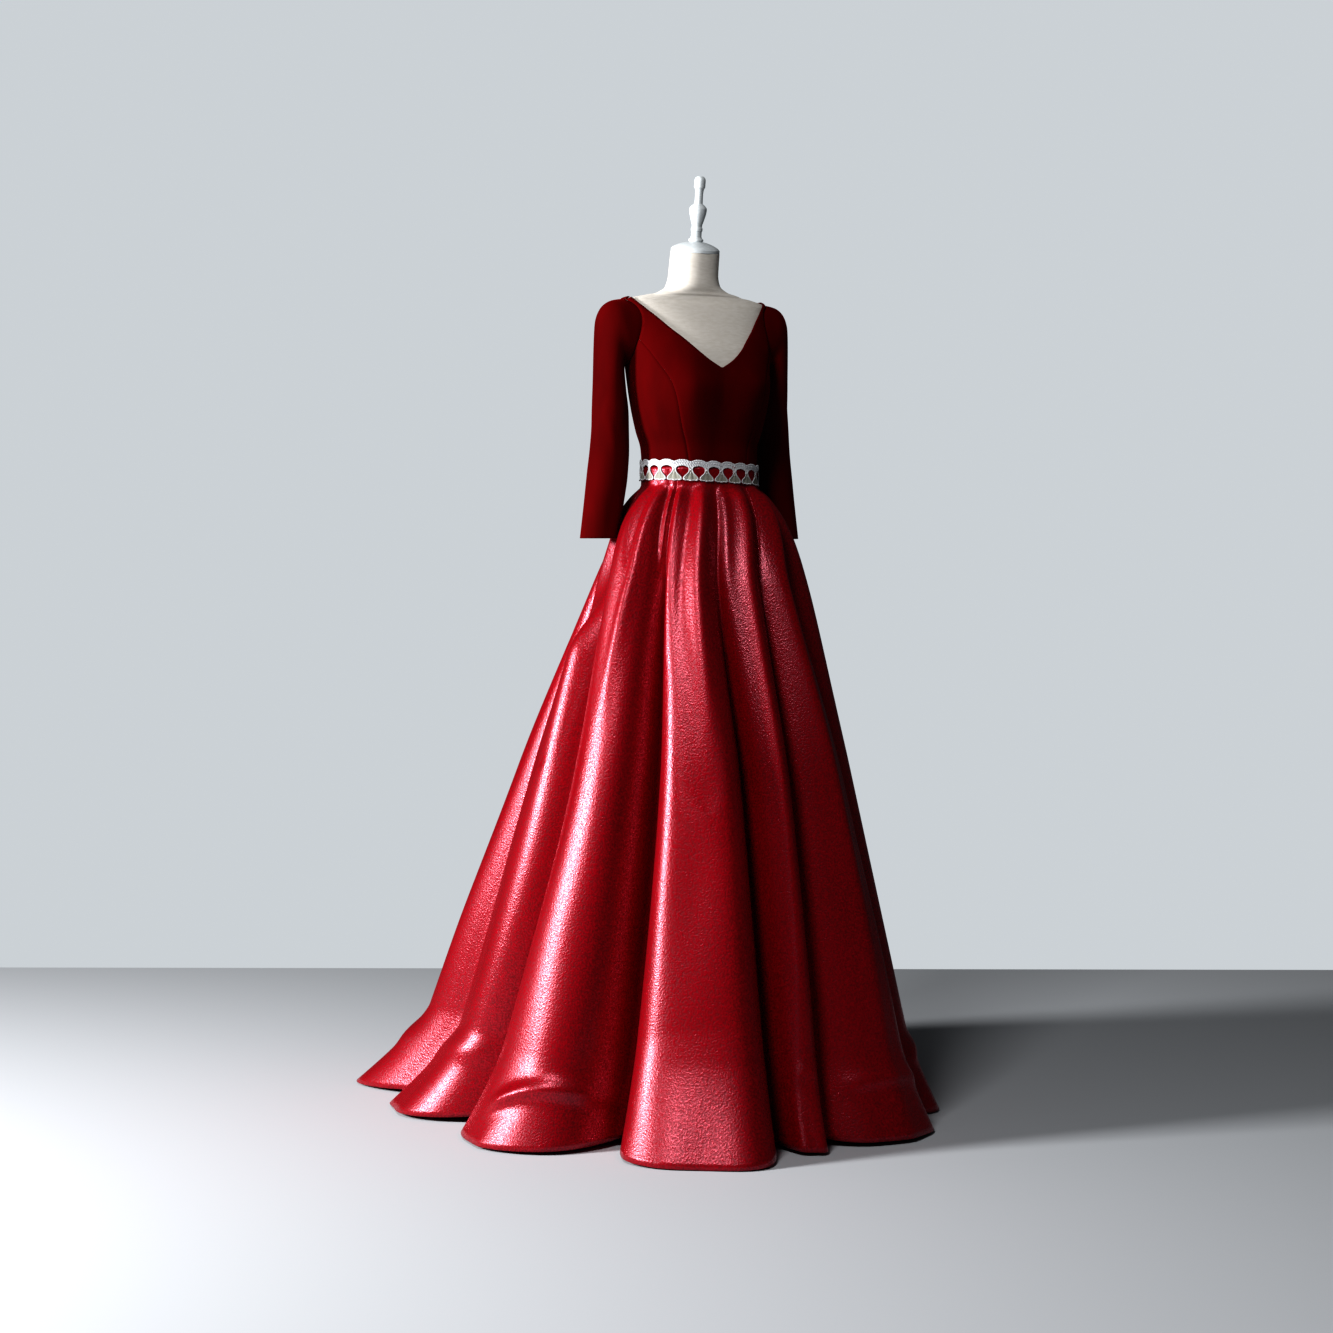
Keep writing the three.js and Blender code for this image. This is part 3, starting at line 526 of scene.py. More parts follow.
# Cloth stops this short of the waist seam, so bodice and skirt are twice as far apart
HALF_GAP = 0.15
BODICE_LOW = WAIST_Z + HALF_GAP
BODICE_HIGH, SIDE_FRONT_HIGH = 1542, 1476
SIDE_SEAM = 90
ZIP_EDGE_TURN = 1.6
FRONT_WIDTH, SIDE_WIDTH, BACK_WIDTH = 200, 95, 160
bodice = [
    bodice_panel("velvet_centre_front", lambda z: -princess(z), princess,
                 BODICE_LOW, BODICE_HIGH, FRONT_WIDTH, "bodice_centre_front"),
    bodice_panel("velvet_side_front_left", princess, straight(SIDE_SEAM),
                 BODICE_LOW, SIDE_FRONT_HIGH, SIDE_WIDTH, "bodice_side_front_left"),
    bodice_panel("velvet_side_front_right", straight(-SIDE_SEAM), lambda z: -princess(z),
                 BODICE_LOW, SIDE_FRONT_HIGH, SIDE_WIDTH, "bodice_side_front_right"),
    bodice_panel("velvet_back_left", straight(SIDE_SEAM), straight(180 - ZIP_EDGE_TURN),
                 BODICE_LOW, BODICE_HIGH, BACK_WIDTH, "bodice_back_left"),
    bodice_panel("velvet_back_right", straight(180 + ZIP_EDGE_TURN), straight(360 - SIDE_SEAM),
                 BODICE_LOW, BODICE_HIGH, BACK_WIDTH, "bodice_back_right"),
]

# %% [markdown]
# ## Sleeves
#
# A set-in sleeve starts as the armhole's oval and turns into the arm's own oval within a few
# centimetres. A tube along the arm would leave a gap there, so we measure the sleeve as ovals at
# a dozen stations and run one smooth curve through them for every column of the net. Soft drag
# lines cross it at the elbow.

# %% Sleeve table and surface, in millimetres
# Columns: x and z of the inner point, x and z of the outer point, half depth, y of the middle
SLEEVE = np.array([
    (147, 1412, 171, 1531, 45, 21), (147.6, 1410.6, 188, 1519.5, 44, 23),
    (148, 1408.8, 197, 1496, 43, 25), (148.2, 1405.5, 199, 1461, 42, 26),
    (147.8, 1400, 200, 1426, 41, 27), (145.5, 1385, 201, 1388, 40, 28),
    (140, 1345, 203, 1345, 39, 29), (136, 1300, 205.5, 1300, 38, 29),
    (135, 1255, 208.5, 1255, 38, 29), (138, 1205, 214, 1205, 38, 29),
    (146, 1150, 221, 1150, 37, 30), (157, 1087, 229, 1087, 36, 30),
])
SLEEVE_HEAD = {"share": 0.35, "rows": 6}
SLEEVE_SEAM = {"depth": 0.9, "share": 0.12}
SLEEVE_COUNTS = {"columns": 88, "rows": 190}
SLEEVE_ROUND = 0.26
DRAG_HALF_WIDTH = 16
# Drag lines: angle round the sleeve, height, angle's slant with height, half length, depth
DRAGS = np.array([
    (60, 1318, 0.5, 34, 1.6), (105, 1296, -0.45, 40, -1.3), (140, 1275, 0.4, 30, 1.4),
    (-60, 1305, 0.5, 36, 1.5), (-110, 1280, -0.4, 34, -1.4), (-150, 1330, 0.5, 28, 1.2),
    (25, 1268, -0.5, 30, 1.3), (-25, 1334, 0.45, 26, -1.2), (80, 1180, 0.2, 50, 1.0),
    (-95, 1150, -0.2, 46, 1.0), (150, 1200, 0.25, 50, -1.1), (20, 1130, 0.2, 40, 0.9),
])


def armhole_ring(angle):
    """The armhole's oval laid on the body: y and z from the oval, and the turn from the y."""
    y = ARMHOLE["y"] + ARMHOLE["half_depth"] * np.sin(angle)
    z = ARMHOLE_MIDDLE - ARMHOLE_HALF * np.cos(angle)
    _, front, back = body_sizes(z)
    cosine = np.clip(((back - front) / 2 - y) / ((front + back) / 2), -1, 1)
    x = body_point(np.degrees(np.arccos(cosine)), z)[..., 0]
    return np.stack([x, y, z], axis=-1)


def sleeve_net(columns, rows):
    """Left sleeve. Each station's oval runs from its inner to its outer point by half of one
    minus the cosine, and along y by the half depth times the sine; angle 0 is the underarm."""
    angle = np.arange(columns) / columns * 2 * np.pi
    across = (1 - np.cos(angle)) / 2
    inner_x, inner_z, outer_x, outer_z, half_depth, y = (SLEEVE[:, i, None] for i in range(6))
    x, z = mix(inner_x, outer_x, across), mix(inner_z, outer_z, across)
    stations = np.stack([x, y + half_depth * np.sin(angle), z], axis=-1)
    stations = np.concatenate([armhole_ring(angle)[None], stations])
    steps = np.arange(len(stations))
    head = np.linspace(0, SLEEVE_HEAD["share"], SLEEVE_HEAD["rows"], endpoint=False)
    depth = np.concatenate([head, np.linspace(SLEEVE_HEAD["share"], steps[-1], rows)])
    points = smooth_through(steps, stations, depth)
    turn, z = np.degrees(angle)[None, :], points[..., 2]
    pushed = SLEEVE_SEAM["depth"] * bump(depth, SLEEVE_SEAM["share"])[:, None] + 0 * z
    for start, height, slant, reach, rise in DRAGS:
        away = (turn - start - slant * (z - height) + 180) % 360 - 180
        pushed += rise * bump(away, DRAG_HALF_WIDTH) * bump(z - height, reach)
    return points - net_normals(points, closed=True) * pushed[..., None]


def make_sleeve(name, side, node):
    """The left sleeve, or its mirror image with the faces turned round again."""
    net = sleeve_net(**SLEEVE_COUNTS)
    rows, columns = net.shape[:2]
    faces = net_faces(rows, columns, closed=True)
    net[..., 0] *= side
    if side < 0:
        faces = faces[:, ::-1]
    around = np.broadcast_to(np.arange(columns) / columns * SLEEVE_ROUND, (rows, columns))
    uv = np.stack([around, net[..., 2] / 1000], axis=-1)
    piece = make_piece(name, net, faces, velvet, uv)
    note_cut(name, net, closed=True)
    return stand_for(thicken(piece, CLOTH), "velvet", node)


sleeves = [make_sleeve("velvet_sleeve_right", -1, "sleeve_right"),
           make_sleeve("velvet_sleeve_left", 1, "sleeve_left")]

# %% [markdown]
# ## The skirt's folds
#
# The skirt is six gores sewn in the valleys of eleven deep folds. Heavy satin hangs from the
# waist in rounded ridges that widen down to the hem, with narrow valleys between them. The
# table holds where each valley runs, how far the hem reaches, and how square each ridge is.
# Every crease that the big folds don't explain is a row of its own in a second table. A cloth
# simulation could drape the gores, but it wouldn't put each fold in the place it has on this gown.

# %% Fold table and surface, in millimetres and degrees
FOLD_START_Z = 1184
FOLD_DROPS = (0, 0.157, 0.5, 1)
# Columns: angle of the valley at the waist, hip, knee and hem, then, at the hem, the radius of
# the valley and of the ridge where the fold starts and where it ends, and the ridge's squareness
FOLDS = np.array([
    (-180, -180, -180, -180, 735, 805, 790, 4), (-157, -156, -157, -158, 705, 790, 690, 5),
    (-136, -130, -126, -128, 604, 604, 544, 3), (-113, -90, -84, -96, 454, 548, 512, 2.7),
    (-43, -44, -45, -49, 385, 476, 512, 6), (-5, -12, -8, -6, 400, 445, 465, 3),
    (29, 15, 12, 7, 415, 470, 500, 3), (57, 39, 45, 46, 395, 450, 455, 3),
    (98, 95, 85, 83, 400, 480, 560, 5), (125, 125, 119, 116, 505, 640, 720, 5),
    (153, 153, 149, 148, 690, 790, 805, 4),
], float)
VALLEY, START, END, SQUARE = FOLDS[:, 4:].T
COUNT = len(FOLDS)
HALF_WIDTH, HALF_DEPTH, WAIST_MIDDLE = 111, 88, -5
HIP_RISE, HIP_DROP = 62, 0.058
FOLD_GROWTH = 0.5
DEEPER = {"share": 0.5, "from": 0.06, "full": 0.3}
WAIST_SQUARE, SQUARE_DROP = 3, 0.25
VALLEY_SOFTNESS = 0.035
ROUND_DROP, FULLNESS_DROP = 0.45, 0.1
HEM_WAVE = {"depth": 4, "below": 170, "counts": (15, 26)}
FLARE = {"start": 0.86, "front": 20, "train": 86, "power": 1.3}
TRAIN = {"from": 60, "full": 130, "curve": 0.08}
ARM_RELIEF = {
    "turn": 103, "nearest": 149, "spread": 0.11, "softness": 5, "low": 870, "high": 1085,
}
CREASE = {"fade": 0.6, "low_top": 1100, "low_fade": 0.3, "spread": 1.6}
UNDER_BELT = {"share": 0.88, "from": 1164, "full": 1190}
# Columns: place in folds at the top and at the bottom, top, bottom, half width, height
CREASES = np.array([
    (3.48, 3.44, 1196, 1000, 9, 5), (3.64, 3.6, 1196, 960, 8, -5), (3.78, 3.46, 1196, 700, 11, 8),
    (3.87, 3.9, 1196, 980, 5, -6), (3.94, 3.97, 1196, 930, 5, 6), (4.1, 4.06, 1196, 560, 7, 7),
    (4.38, 4.32, 1196, 800, 12, -8), (4.66, 4.62, 1196, 620, 14, 11),
    (4.9, 4.86, 1196, 840, 10, -6), (5.16, 5.1, 1196, 860, 8, 4),
    (5.58, 5.56, 1196, -250, 17, 17), (5.86, 5.84, 1196, 900, 10, -5),
    (6.4, 6.48, 1196, -250, 17, 15), (6.7, 6.72, 1196, 820, 14, -6), (2.75, 2.74, 1196, 420, 20, 6),
    (2.30, 2.36, 1196, 640, 22, -6), (1.85, 1.93, 640, 60, 46, 9), (2.45, 2.5, 560, 90, 30, -7),
    (3.62, 3.72, 620, 120, 34, -8), (3.20, 3.24, 760, 60, 22, 7), (4.50, 4.42, 700, 230, 34, -6),
    (5.55, 5.46, 560, 60, 20, 6), (6.55, 6.62, 620, 90, 26, 7), (7.3, 7.3, 1190, 700, 20, 6),
    (7.7, 7.62, 1190, 640, 22, -6), (8.3, 8.35, 1190, 560, 22, 6), (8.7, 8.62, 1190, 640, 22, -5),
    (9.35, 9.3, 1190, 600, 22, 6), (9.7, 9.72, 1190, 700, 20, -5), (10.3, 10.35, 1190, 560, 22, 6),
    (10.7, 10.66, 1190, 640, 22, -5), (0.35, 0.3, 1190, 600, 22, 6), (0.7, 0.75, 1190, 640, 22, -5),
    (1.3, 1.35, 1190, 560, 22, 6), (1.6, 1.56, 1190, 700, 22, -5), (8.5, 8.45, 620, 90, 40, 8),
    (10.45, 10.5, 560, 120, 44, 8), (0.5, 0.56, 640, 80, 46, 8),
])
BREAK_FADE, KICK_POWER = 0.35, 1.35
# Where a fold meets the floor it breaks: fold, half width in folds, height of the bend, how far
# it rises in the middle and towards the wearer's left, depth and half height of the ridge along
# it, and how far the cloth kicks out below
BREAKS = np.array([
    (3.70, 0.33, 60, 52, 0, 13, 15, 8), (4.50, 0.50, 215, 10, 24, 0, 16, 34),
    (5.45, 0.35, 120, 20, 10, 3, 16, 9), (6.50, 0.42, 90, 26, -8, 6, 16, 8),
    (2.55, 0.40, 110, 24, 12, 7, 22, 9), (7.55, 0.36, 100, 24, 0, 7, 18, 8),
    (8.50, 0.40, 86, 28, 6, 8, 18, 9), (9.48, 0.40, 92, 24, -6, 8, 20, 9),
    (10.5, 0.42, 84, 30, 8, 9, 20, 9), (0.52, 0.40, 90, 28, -6, 9, 20, 9),
    (1.50, 0.40, 88, 26, 0, 8, 20, 9),
])


def table_through(drop):
    """Angle of every valley at every drop, with the first valley again a full turn later."""
    angles = smooth_through(FOLD_DROPS, FOLDS[:, :4].T, drop)
    return np.concatenate([angles, angles[..., :1] + 360], axis=-1)


def edge_radius(hem_radius, train_share, drop):
    """Radius of a ridge: the hips' quick rise, the slope down to the hem, which curves out
    towards the train, and the flare just above the floor."""
    flare = mix(FLARE["front"], FLARE["train"], train_share)
    slope = hem_radius - flare - HALF_WIDTH - HIP_RISE
    lift = np.maximum(0, (drop - FLARE["start"]) / (1 - FLARE["start"])) ** FLARE["power"]
    hips = HALF_WIDTH + HIP_RISE * (1 - np.exp(-drop / HIP_DROP))
    return hips + slope * drop ** (1 + TRAIN["curve"] * train_share) + flare * lift


def valley_radius(number, train_share, drop):
    """Radius in the valley where a fold starts: the ridge's radius less the valley's depth, which
    grows with a power of the drop. Below the hips the cloth folds in deeper still."""
    valley = VALLEY[number % COUNT]
    depth = (END[number - 1] + START[number % COUNT]) / 2 - valley
    deeper = 1 + DEEPER["share"] * smooth_step(drop, DEEPER["from"], DEEPER["full"])
    return edge_radius(valley + depth, train_share, drop) - depth * deeper * drop**FOLD_GROWTH


def from_front(turn):
    """Degrees from the centre front, without a sign."""
    return np.abs((turn + 540) % 360 - 180)


def fold_radius(fold, drop, angles):
    """Angle and radius of the big folds: the ridge's radius, blended to the valleys' by how far
    the point is from the ridge, to the power of the fold's squareness."""
    fold = fold % COUNT
    number = np.floor(fold).astype(int)
    share = fold - number
    low = np.take_along_axis(angles, number[..., None], axis=-1)[..., 0]
    high = np.take_along_axis(angles, number[..., None] + 1, axis=-1)[..., 0]
    turn = mix(low, high, share)
    train = smooth_step(from_front(turn), TRAIN["from"], TRAIN["full"])
    square = mix(WAIST_SQUARE, SQUARE[number], np.minimum(1, drop / SQUARE_DROP))
    edge = edge_radius(mix(START[number], END[number], share), train, drop)
    valleys = [valley_radius(number + k, train, drop) for k in (0, 1)]
    folded = mix(edge, mix(*valleys, share), np.abs(2 * share - 1) ** square)
    return turn, folded, high - low


# %% Creases, breaks and the skirt's net
def folds_away(fold, centre):
    """Number of folds from a centre, with its sign, the short way round the skirt."""
    return (fold - centre + COUNT / 2) % COUNT - COUNT / 2


def crease_height(fold, z, fold_width):
    """Sum of the creases. Each is a bell across, narrower towards its top, times a smooth rise
    from its lower end, and a crease that starts low fades out again towards its top."""
    height = np.zeros_like(z)
    for top_fold, low_fold, top, bottom, half_width, rise in CREASES:
        length = np.clip((z - bottom) / (top - bottom), 0, 1)
        ends = smooth_step(length, 0, CREASE["fade"])
        if top < CREASE["low_top"]:
            ends = ends * (1 - smooth_step(length, CREASE["low_fade"], 1))
        across = folds_away(fold, mix(low_fold, top_fold, length)) * fold_width
        height += rise * ends * bump(across, half_width * mix(CREASE["spread"], 1, length))
    return height * (1 - UNDER_BELT["share"] * smooth_step(z, UNDER_BELT["from"], UNDER_BELT["full"]))


def break_height(fold, z):
    """Sum of the breaks. Each is a ridge along a bend that rises like a parabola, and under it a
    kick outwards by a power of the share of the way down."""
    height = np.zeros_like(z)
    for centre, reach, bend, arch, tilt, rise, half_height, kick in BREAKS:
        away = folds_away(fold, centre) / reach
        inside = smooth_step(1 - np.abs(away), 0, BREAK_FADE)
        level = bend + arch * (1 - np.minimum(1, away**2)) + tilt * np.clip(away, -1, 1)
        out = kick * np.maximum(0, 1 - z / level) ** KICK_POWER
        height += inside * (rise * bump(z - level, half_height) + out)
    return height


def hem_wave(fold, z):
    """Two sines round the hem that fade out upwards."""
    waves = sum(np.sin(2 * np.pi * count * fold / COUNT) for count in HEM_WAVE["counts"])
    return HEM_WAVE["depth"] * smooth_step(-z, -HEM_WAVE["below"], 0) * waves


def eased_by_arms(radius, turn, z):
    """Beside the arms the radius stays under a limit that grows with the square of the angle from
    them: the smaller of the two, rounded off where they meet."""
    beside = (from_front(turn) - ARM_RELIEF["turn"]) ** 2
    limit = ARM_RELIEF["nearest"] + ARM_RELIEF["spread"] * beside
    eased = (radius + limit - np.hypot(radius - limit, ARM_RELIEF["softness"])) / 2
    return mix(radius, eased, smooth_step(z, ARM_RELIEF["low"], ARM_RELIEF["high"]))


def skirt_net(fold, z):
    """Outer face of the skirt on a net of fold numbers and heights. Each valley is rounded by a
    mean over a little of the fold to each side. Creases, breaks and the hem's waves are added
    along the radius, and the waist's oval turns round on the way down."""
    drop = np.maximum(0, (FOLD_START_Z - z) / FOLD_START_Z)
    angles = table_through(drop)
    turn, radius, unit = fold_radius(fold, drop, angles)
    for side in (-VALLEY_SOFTNESS, VALLEY_SOFTNESS):
        radius = radius + fold_radius(fold + side, drop, angles)[1] / 2
    radius = radius / 2
    radius = radius + crease_height(fold, z, radius * np.radians(unit))
    radius = radius + break_height(fold, z) + hem_wave(fold, z)
    radius = eased_by_arms(radius, turn, z)
    angle = np.radians(turn)
    roundness = smooth_step(drop, 0, ROUND_DROP)
    flatness = mix(HALF_DEPTH / HALF_WIDTH, 1, roundness)
    fullness = 1 + FULLNESS * np.sin(2 * angle) ** 2 * np.exp(-drop / FULLNESS_DROP)
    x = radius * np.sin(angle) * fullness
    y = mix(WAIST_MIDDLE, 0, roundness) - radius * flatness * np.cos(angle) * fullness
    return np.stack([x, y, z], axis=-1)


# %% Skirt gores
SATIN_WALL = 1.6
# Name, first fold and number of folds of each gore
GORES = (
    ("skirt_back_right", 0, 2), ("skirt_side_right", 2, 2), ("skirt_front", 4, 2),
    ("skirt_side_left", 6, 2), ("skirt_side_back_left", 8, 2), ("skirt_back_left", 10, 1),
)
FOLD_CELLS, SKIRT_ROWS = 60, 200
COLUMN_PACKING, ROW_PACKING = 0.045, 0.9
CLOTH_PER_FOLD = 0.25
# Waves: height, number round the hem, and where they start
HEM_LIFT = {"base": 5, "waves": ((2, 4, 0.6), (1.6, 9, 0)), "valley": 8, "steepness": 5}


def hem_lift(fold):
    """The hem's height over the floor: a sum of sines, and a rise beside each valley by a power
    of the share of the way there from the ridge."""
    in_valley = np.abs(2 * (fold % 1) - 1) ** HEM_LIFT["steepness"]
    around = 2 * np.pi * fold / COUNT
    waves = sum(rise * np.sin(count * around + start) for rise, count, start in HEM_LIFT["waves"])
    return HEM_LIFT["base"] + waves + HEM_LIFT["valley"] * in_valley


def make_gore(name, first, count):
    """One gore, from valley to valley, with columns packed closer beside the valleys."""
    steps = np.linspace(0, 1, FOLD_CELLS, endpoint=False)
    packed = steps - COLUMN_PACKING * np.sin(4 * np.pi * steps)
    fold = np.append((first + np.arange(count)[:, None] + packed).ravel(), first + count)
    fold, up = np.meshgrid(fold, np.linspace(0, 1, SKIRT_ROWS) ** ROW_PACKING)
    z = mix(hem_lift(fold), WAIST_Z - HALF_GAP, up)
    net = skirt_net(fold, z)
    uv = np.stack([fold * CLOTH_PER_FOLD, z / 1000], axis=-1)
    piece = make_piece(name.replace("skirt", "satin"), net, net_faces(*fold.shape), satin, uv)
    note_cut(piece.name, net)
    return stand_for(thicken(piece, SATIN_WALL), "satin", name)


skirt = [make_gore(*gore) for gore in GORES]

# %% [markdown]
# ## The lace belt
#
# The belt is corded lace with small beads: a wavy band along the top, and under it a row of
# ribbed fans, each hung from the band by a narrow neck. The satin shows through the egg-shaped
# gaps. A transparent image would be quicker, but has no edge to catch the light. So we cut the
# lace from a fine net as we cut the bodice, and raise ribs, rims and a twisted cord on its face,
# all in the belt's own flat millimetres.


# %% Lace and bead materials
def make_lace():
    """Corded lace of matt grey-white thread, with paler rims. Its thread grain is 1 mm wide."""
    material, tree, shader = new_material("corded_lace")
    place = object_place(tree)
    rim = add_node(tree, "ShaderNodeAttribute", attribute_name="rim").outputs["Fac"]
    thread = noise(tree, place, 1.0, 2)
    shade = ramp(tree, rim, (0.05, "9c9b90"), (0.6, "cdced1"), (1.0, "ebedf1"))
    tree.links.new(shade, shader.inputs["Base Color"])
    set_shader(shader, Roughness=0.55, Specular_IOR_Level=0.4, Sheen_Weight=0.2)
    bump_from(tree, shader, (thread, 0.4, 0.7))
    return material


def make_bead():
    """Small glass beads with a pearly lustre, slightly uneven in colour."""
    material, tree, shader = new_material("pearl_bead")
    uneven = noise(tree, object_place(tree), 6, 1)
    shade = ramp(tree, uneven, (0.35, "c3c4c8"), (0.65, "f2f3f6"))
    tree.links.new(shade, shader.inputs["Base Color"])
    set_shader(shader, Roughness=0.18, Coat_Weight=0.6, Coat_Roughness=0.1)
    return material


lace = make_lace()
pearl = make_bead()
tell(lace, pearl)

# %% Belt shape, in millimetres
BELT = {"bottom": 1190, "top": 1230, "tilt": 0.045, "evenness": 0.052, "repeats": 22}
BELT_STANDOFF, LACE_FACE, LACE_WALL, LACE_TRIM = 0.7, 1.2, 1.0, 0.4
BELT_ROUND = np.pi * (HALF_WIDTH + HALF_DEPTH)
REPEAT = BELT_ROUND / BELT["repeats"]
# Half width of the fan, its neck and the band above, by height over the belt's lower edge
FAN = np.array([
    (0, 9.5), (1.5, 12.4), (4, 13.5), (7.5, 12.6), (11, 9.6), (14.5, 6.2), (18, 4.1), (22, 3.6),
    (25, 4.4), (27, 7.4), (28.4, 11), (29.4, 20), (41, 22),
])
FAN_TOP = 24
FAN_RIBS = 8
FAN_EDGE = {"curve": 1.6, "half_width": 13, "tooth": 0.9}
BAND_EDGE = {"top": 40, "wave": 1.6, "skew": 0.5}
RIM = {"inside": 1.0, "width": 1.1, "height": 1.0}
RIBS = {"height": 0.8, "top": 22, "fade": 6, "from_above": 3, "closeness": 0.9}
CORD = {"height": 0.6, "twist": 4.2, "slant": 7, "from": 25, "full": 29}
BAND_PALENESS = {"share": 0.72, "from": 20, "full": 27}


def belt_point(along, z, out):
    """Point on the belt: along counts repeats from the centre back, and the angle is evened so
    that equal steps are equal lengths of the waist's oval. The belt drops to the wearer's left."""
    even = np.pi + along / BELT["repeats"] * 2 * np.pi
    angle = even - BELT["evenness"] * np.sin(2 * even)
    fullness = 1 + FULLNESS * np.sin(2 * angle) ** 2
    grow = BELT_STANDOFF + out
    x = (HALF_WIDTH * fullness + grow) * np.sin(angle)
    y = WAIST_MIDDLE - (HALF_DEPTH * fullness + grow) * np.cos(angle)
    return np.stack(np.broadcast_arrays(x, y, z - BELT["tilt"] * x), axis=-1)


def fan_place(along, z):
    """Millimetres across from the nearest fan's middle, and up from the belt's lower edge. The
    fans hang at whole repeats."""
    return (along - np.round(along)) * REPEAT, z - BELT["bottom"]


def inside_lace(along, z):
    """Positive on the lace: the least of the fan's half width less the distance across, the
    height over its scalloped lower edge and the drop below the band's wavy top."""
    across, up = fan_place(along, z)
    fan = smooth_through(FAN[:, 0], FAN[:, 1], up) - np.abs(across)
    spoke = np.arctan2(across, FAN_TOP - up)
    teeth = FAN_EDGE["tooth"] * (1 - np.abs(np.cos(FAN_RIBS * spoke)))
    lower = up - FAN_EDGE["curve"] * (across / FAN_EDGE["half_width"]) ** 2 - teeth
    wave = 2 * np.pi * across / REPEAT
    dip = BAND_EDGE["wave"] * (1 + np.cos(wave + BAND_EDGE["skew"] * np.sin(wave)))
    upper = BAND_EDGE["top"] - dip - up
    return np.minimum(np.minimum(fan, upper), lower)


def lace_relief(along, z):
    """Height of the face over the ground, and how pale it is: ribs fanning out from the neck, a
    rounded rim along every edge, and a twisted cord along the band."""
    across, up = fan_place(along, z)
    rim = bump(inside_lace(along, z) - RIM["inside"], RIM["width"])
    spoke = np.arctan2(across, FAN_TOP + RIBS["from_above"] - up)
    ribs = RIBS["height"] * np.abs(np.cos(FAN_RIBS * spoke * RIBS["closeness"]))
    ribs = ribs * smooth_step(RIBS["top"] - up, 0, RIBS["fade"])
    twist = np.cos(2 * np.pi * (along * REPEAT / CORD["twist"] + up / CORD["slant"]))
    cord = CORD["height"] * twist * smooth_step(up, CORD["from"], CORD["full"])
    pale = BAND_PALENESS["share"] * smooth_step(up, BAND_PALENESS["from"], BAND_PALENESS["full"])
    return ribs + cord + RIM["height"] * rim, np.maximum(rim, pale)


LACE_CELLS = (330, 44)


def make_belt_half(name, first, node):
    """Eleven repeats of lace, cut from a net of 1 mm cells."""
    half = BELT["repeats"] // 2
    width = half * REPEAT
    trim = LACE_TRIM / width
    u, z = np.meshgrid(np.linspace(trim, 1 - trim, LACE_CELLS[0]),
                       np.linspace(BELT["bottom"], BELT["top"], LACE_CELLS[1]))

    def inside(share, height):
        return inside_lace(first + share * half, height)

    u, z, stays = cut_net(u, z, inside, width)
    along = first + u * half
    relief, rim = lace_relief(along, z)
    points = belt_point(along, z, LACE_FACE + relief)
    used, faces = np.unique(net_faces(*u.shape)[stays.ravel()], return_inverse=True)
    piece = make_piece(name, points.reshape(-1, 3)[used], faces.reshape(-1, 4), lace,
                       values={"rim": rim.ravel()[used]})
    note_cut(name, belt_point(along, z, LACE_FACE), stays=stays)
    return stand_for(thicken(piece, LACE_WALL), "lace", node)


belt = [make_belt_half("lace_belt_right", 0, "belt_right"),
        make_belt_half("lace_belt_left", BELT["repeats"] // 2, "belt_left")]


# %% Beads on the belt
POLE_RING = 0.02


def ball(rings=5, sides=8):
    """Unit ball as a net of rings, each point from the sines and cosines of two angles. The first
    and last rings lie POLE_RING radians from the poles."""
    down, around = np.meshgrid(np.linspace(POLE_RING, np.pi - POLE_RING, rings),
                               np.arange(sides) / sides * 2 * np.pi, indexing="ij")
    x, y = np.sin(down) * np.cos(around), np.sin(down) * np.sin(around)
    return np.stack([x, y, np.cos(down)], axis=-1), net_faces(rings, sides, closed=True)[:, ::-1]


def scatter(name, centres, radii, material):
    """One mesh of balls at the centres, made as one array: each ball's points scaled and moved."""
    points, faces = ball()
    points = points.reshape(-1, 3)
    every = centres[:, None, :] + points[None] * radii[:, None, None]
    all_faces = faces[None] + (np.arange(len(centres)) * len(points))[:, None, None]
    piece = make_piece(name, every, all_faces.reshape(-1, 4), material)
    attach(piece, BODY_NAME)
    print(name, len(centres), "balls")


# Beads of one repeat: millimetres across, up, and radius
BEADS = np.array([
    (0, 21.5, 1.5), (0, 32.5, 1.3), (4.8, 33.5, 1.1), (-4.8, 33.5, 1.1), (9.6, 34.5, 1.1),
    (-9.6, 34.5, 1.1), (14.2, 34.8, 1.3), (-10.5, 3.4, 0.9), (-5.4, 2.3, 0.9), (0, 1.8, 0.9),
    (5.4, 2.3, 0.9), (10.5, 3.4, 0.9), (0, 15.5, 1.0),
])
BEAD_OUT = 1.4
fans = np.arange(BELT["repeats"])[:, None]
bead_along = (fans + BEADS[:, 0] / REPEAT).ravel()
bead_z = np.tile(BELT["bottom"] + BEADS[:, 1], len(fans))
bead_radius = np.tile(BEADS[:, 2], len(fans))
bead_out = BEAD_OUT + lace_relief(bead_along, bead_z)[0]
scatter("belt_beads", belt_point(bead_along, bead_z, bead_out), bead_radius, pearl)

# %% [markdown]
# ## The zip
#
# An invisible zip closes the centre back. Closed, it shows as a narrow groove between two folded
# lips of velvet, with the small drop-shaped pull of its slider at the top. Its teeth don't show,
# so one surface with the lips and the pull raised on it is enough.


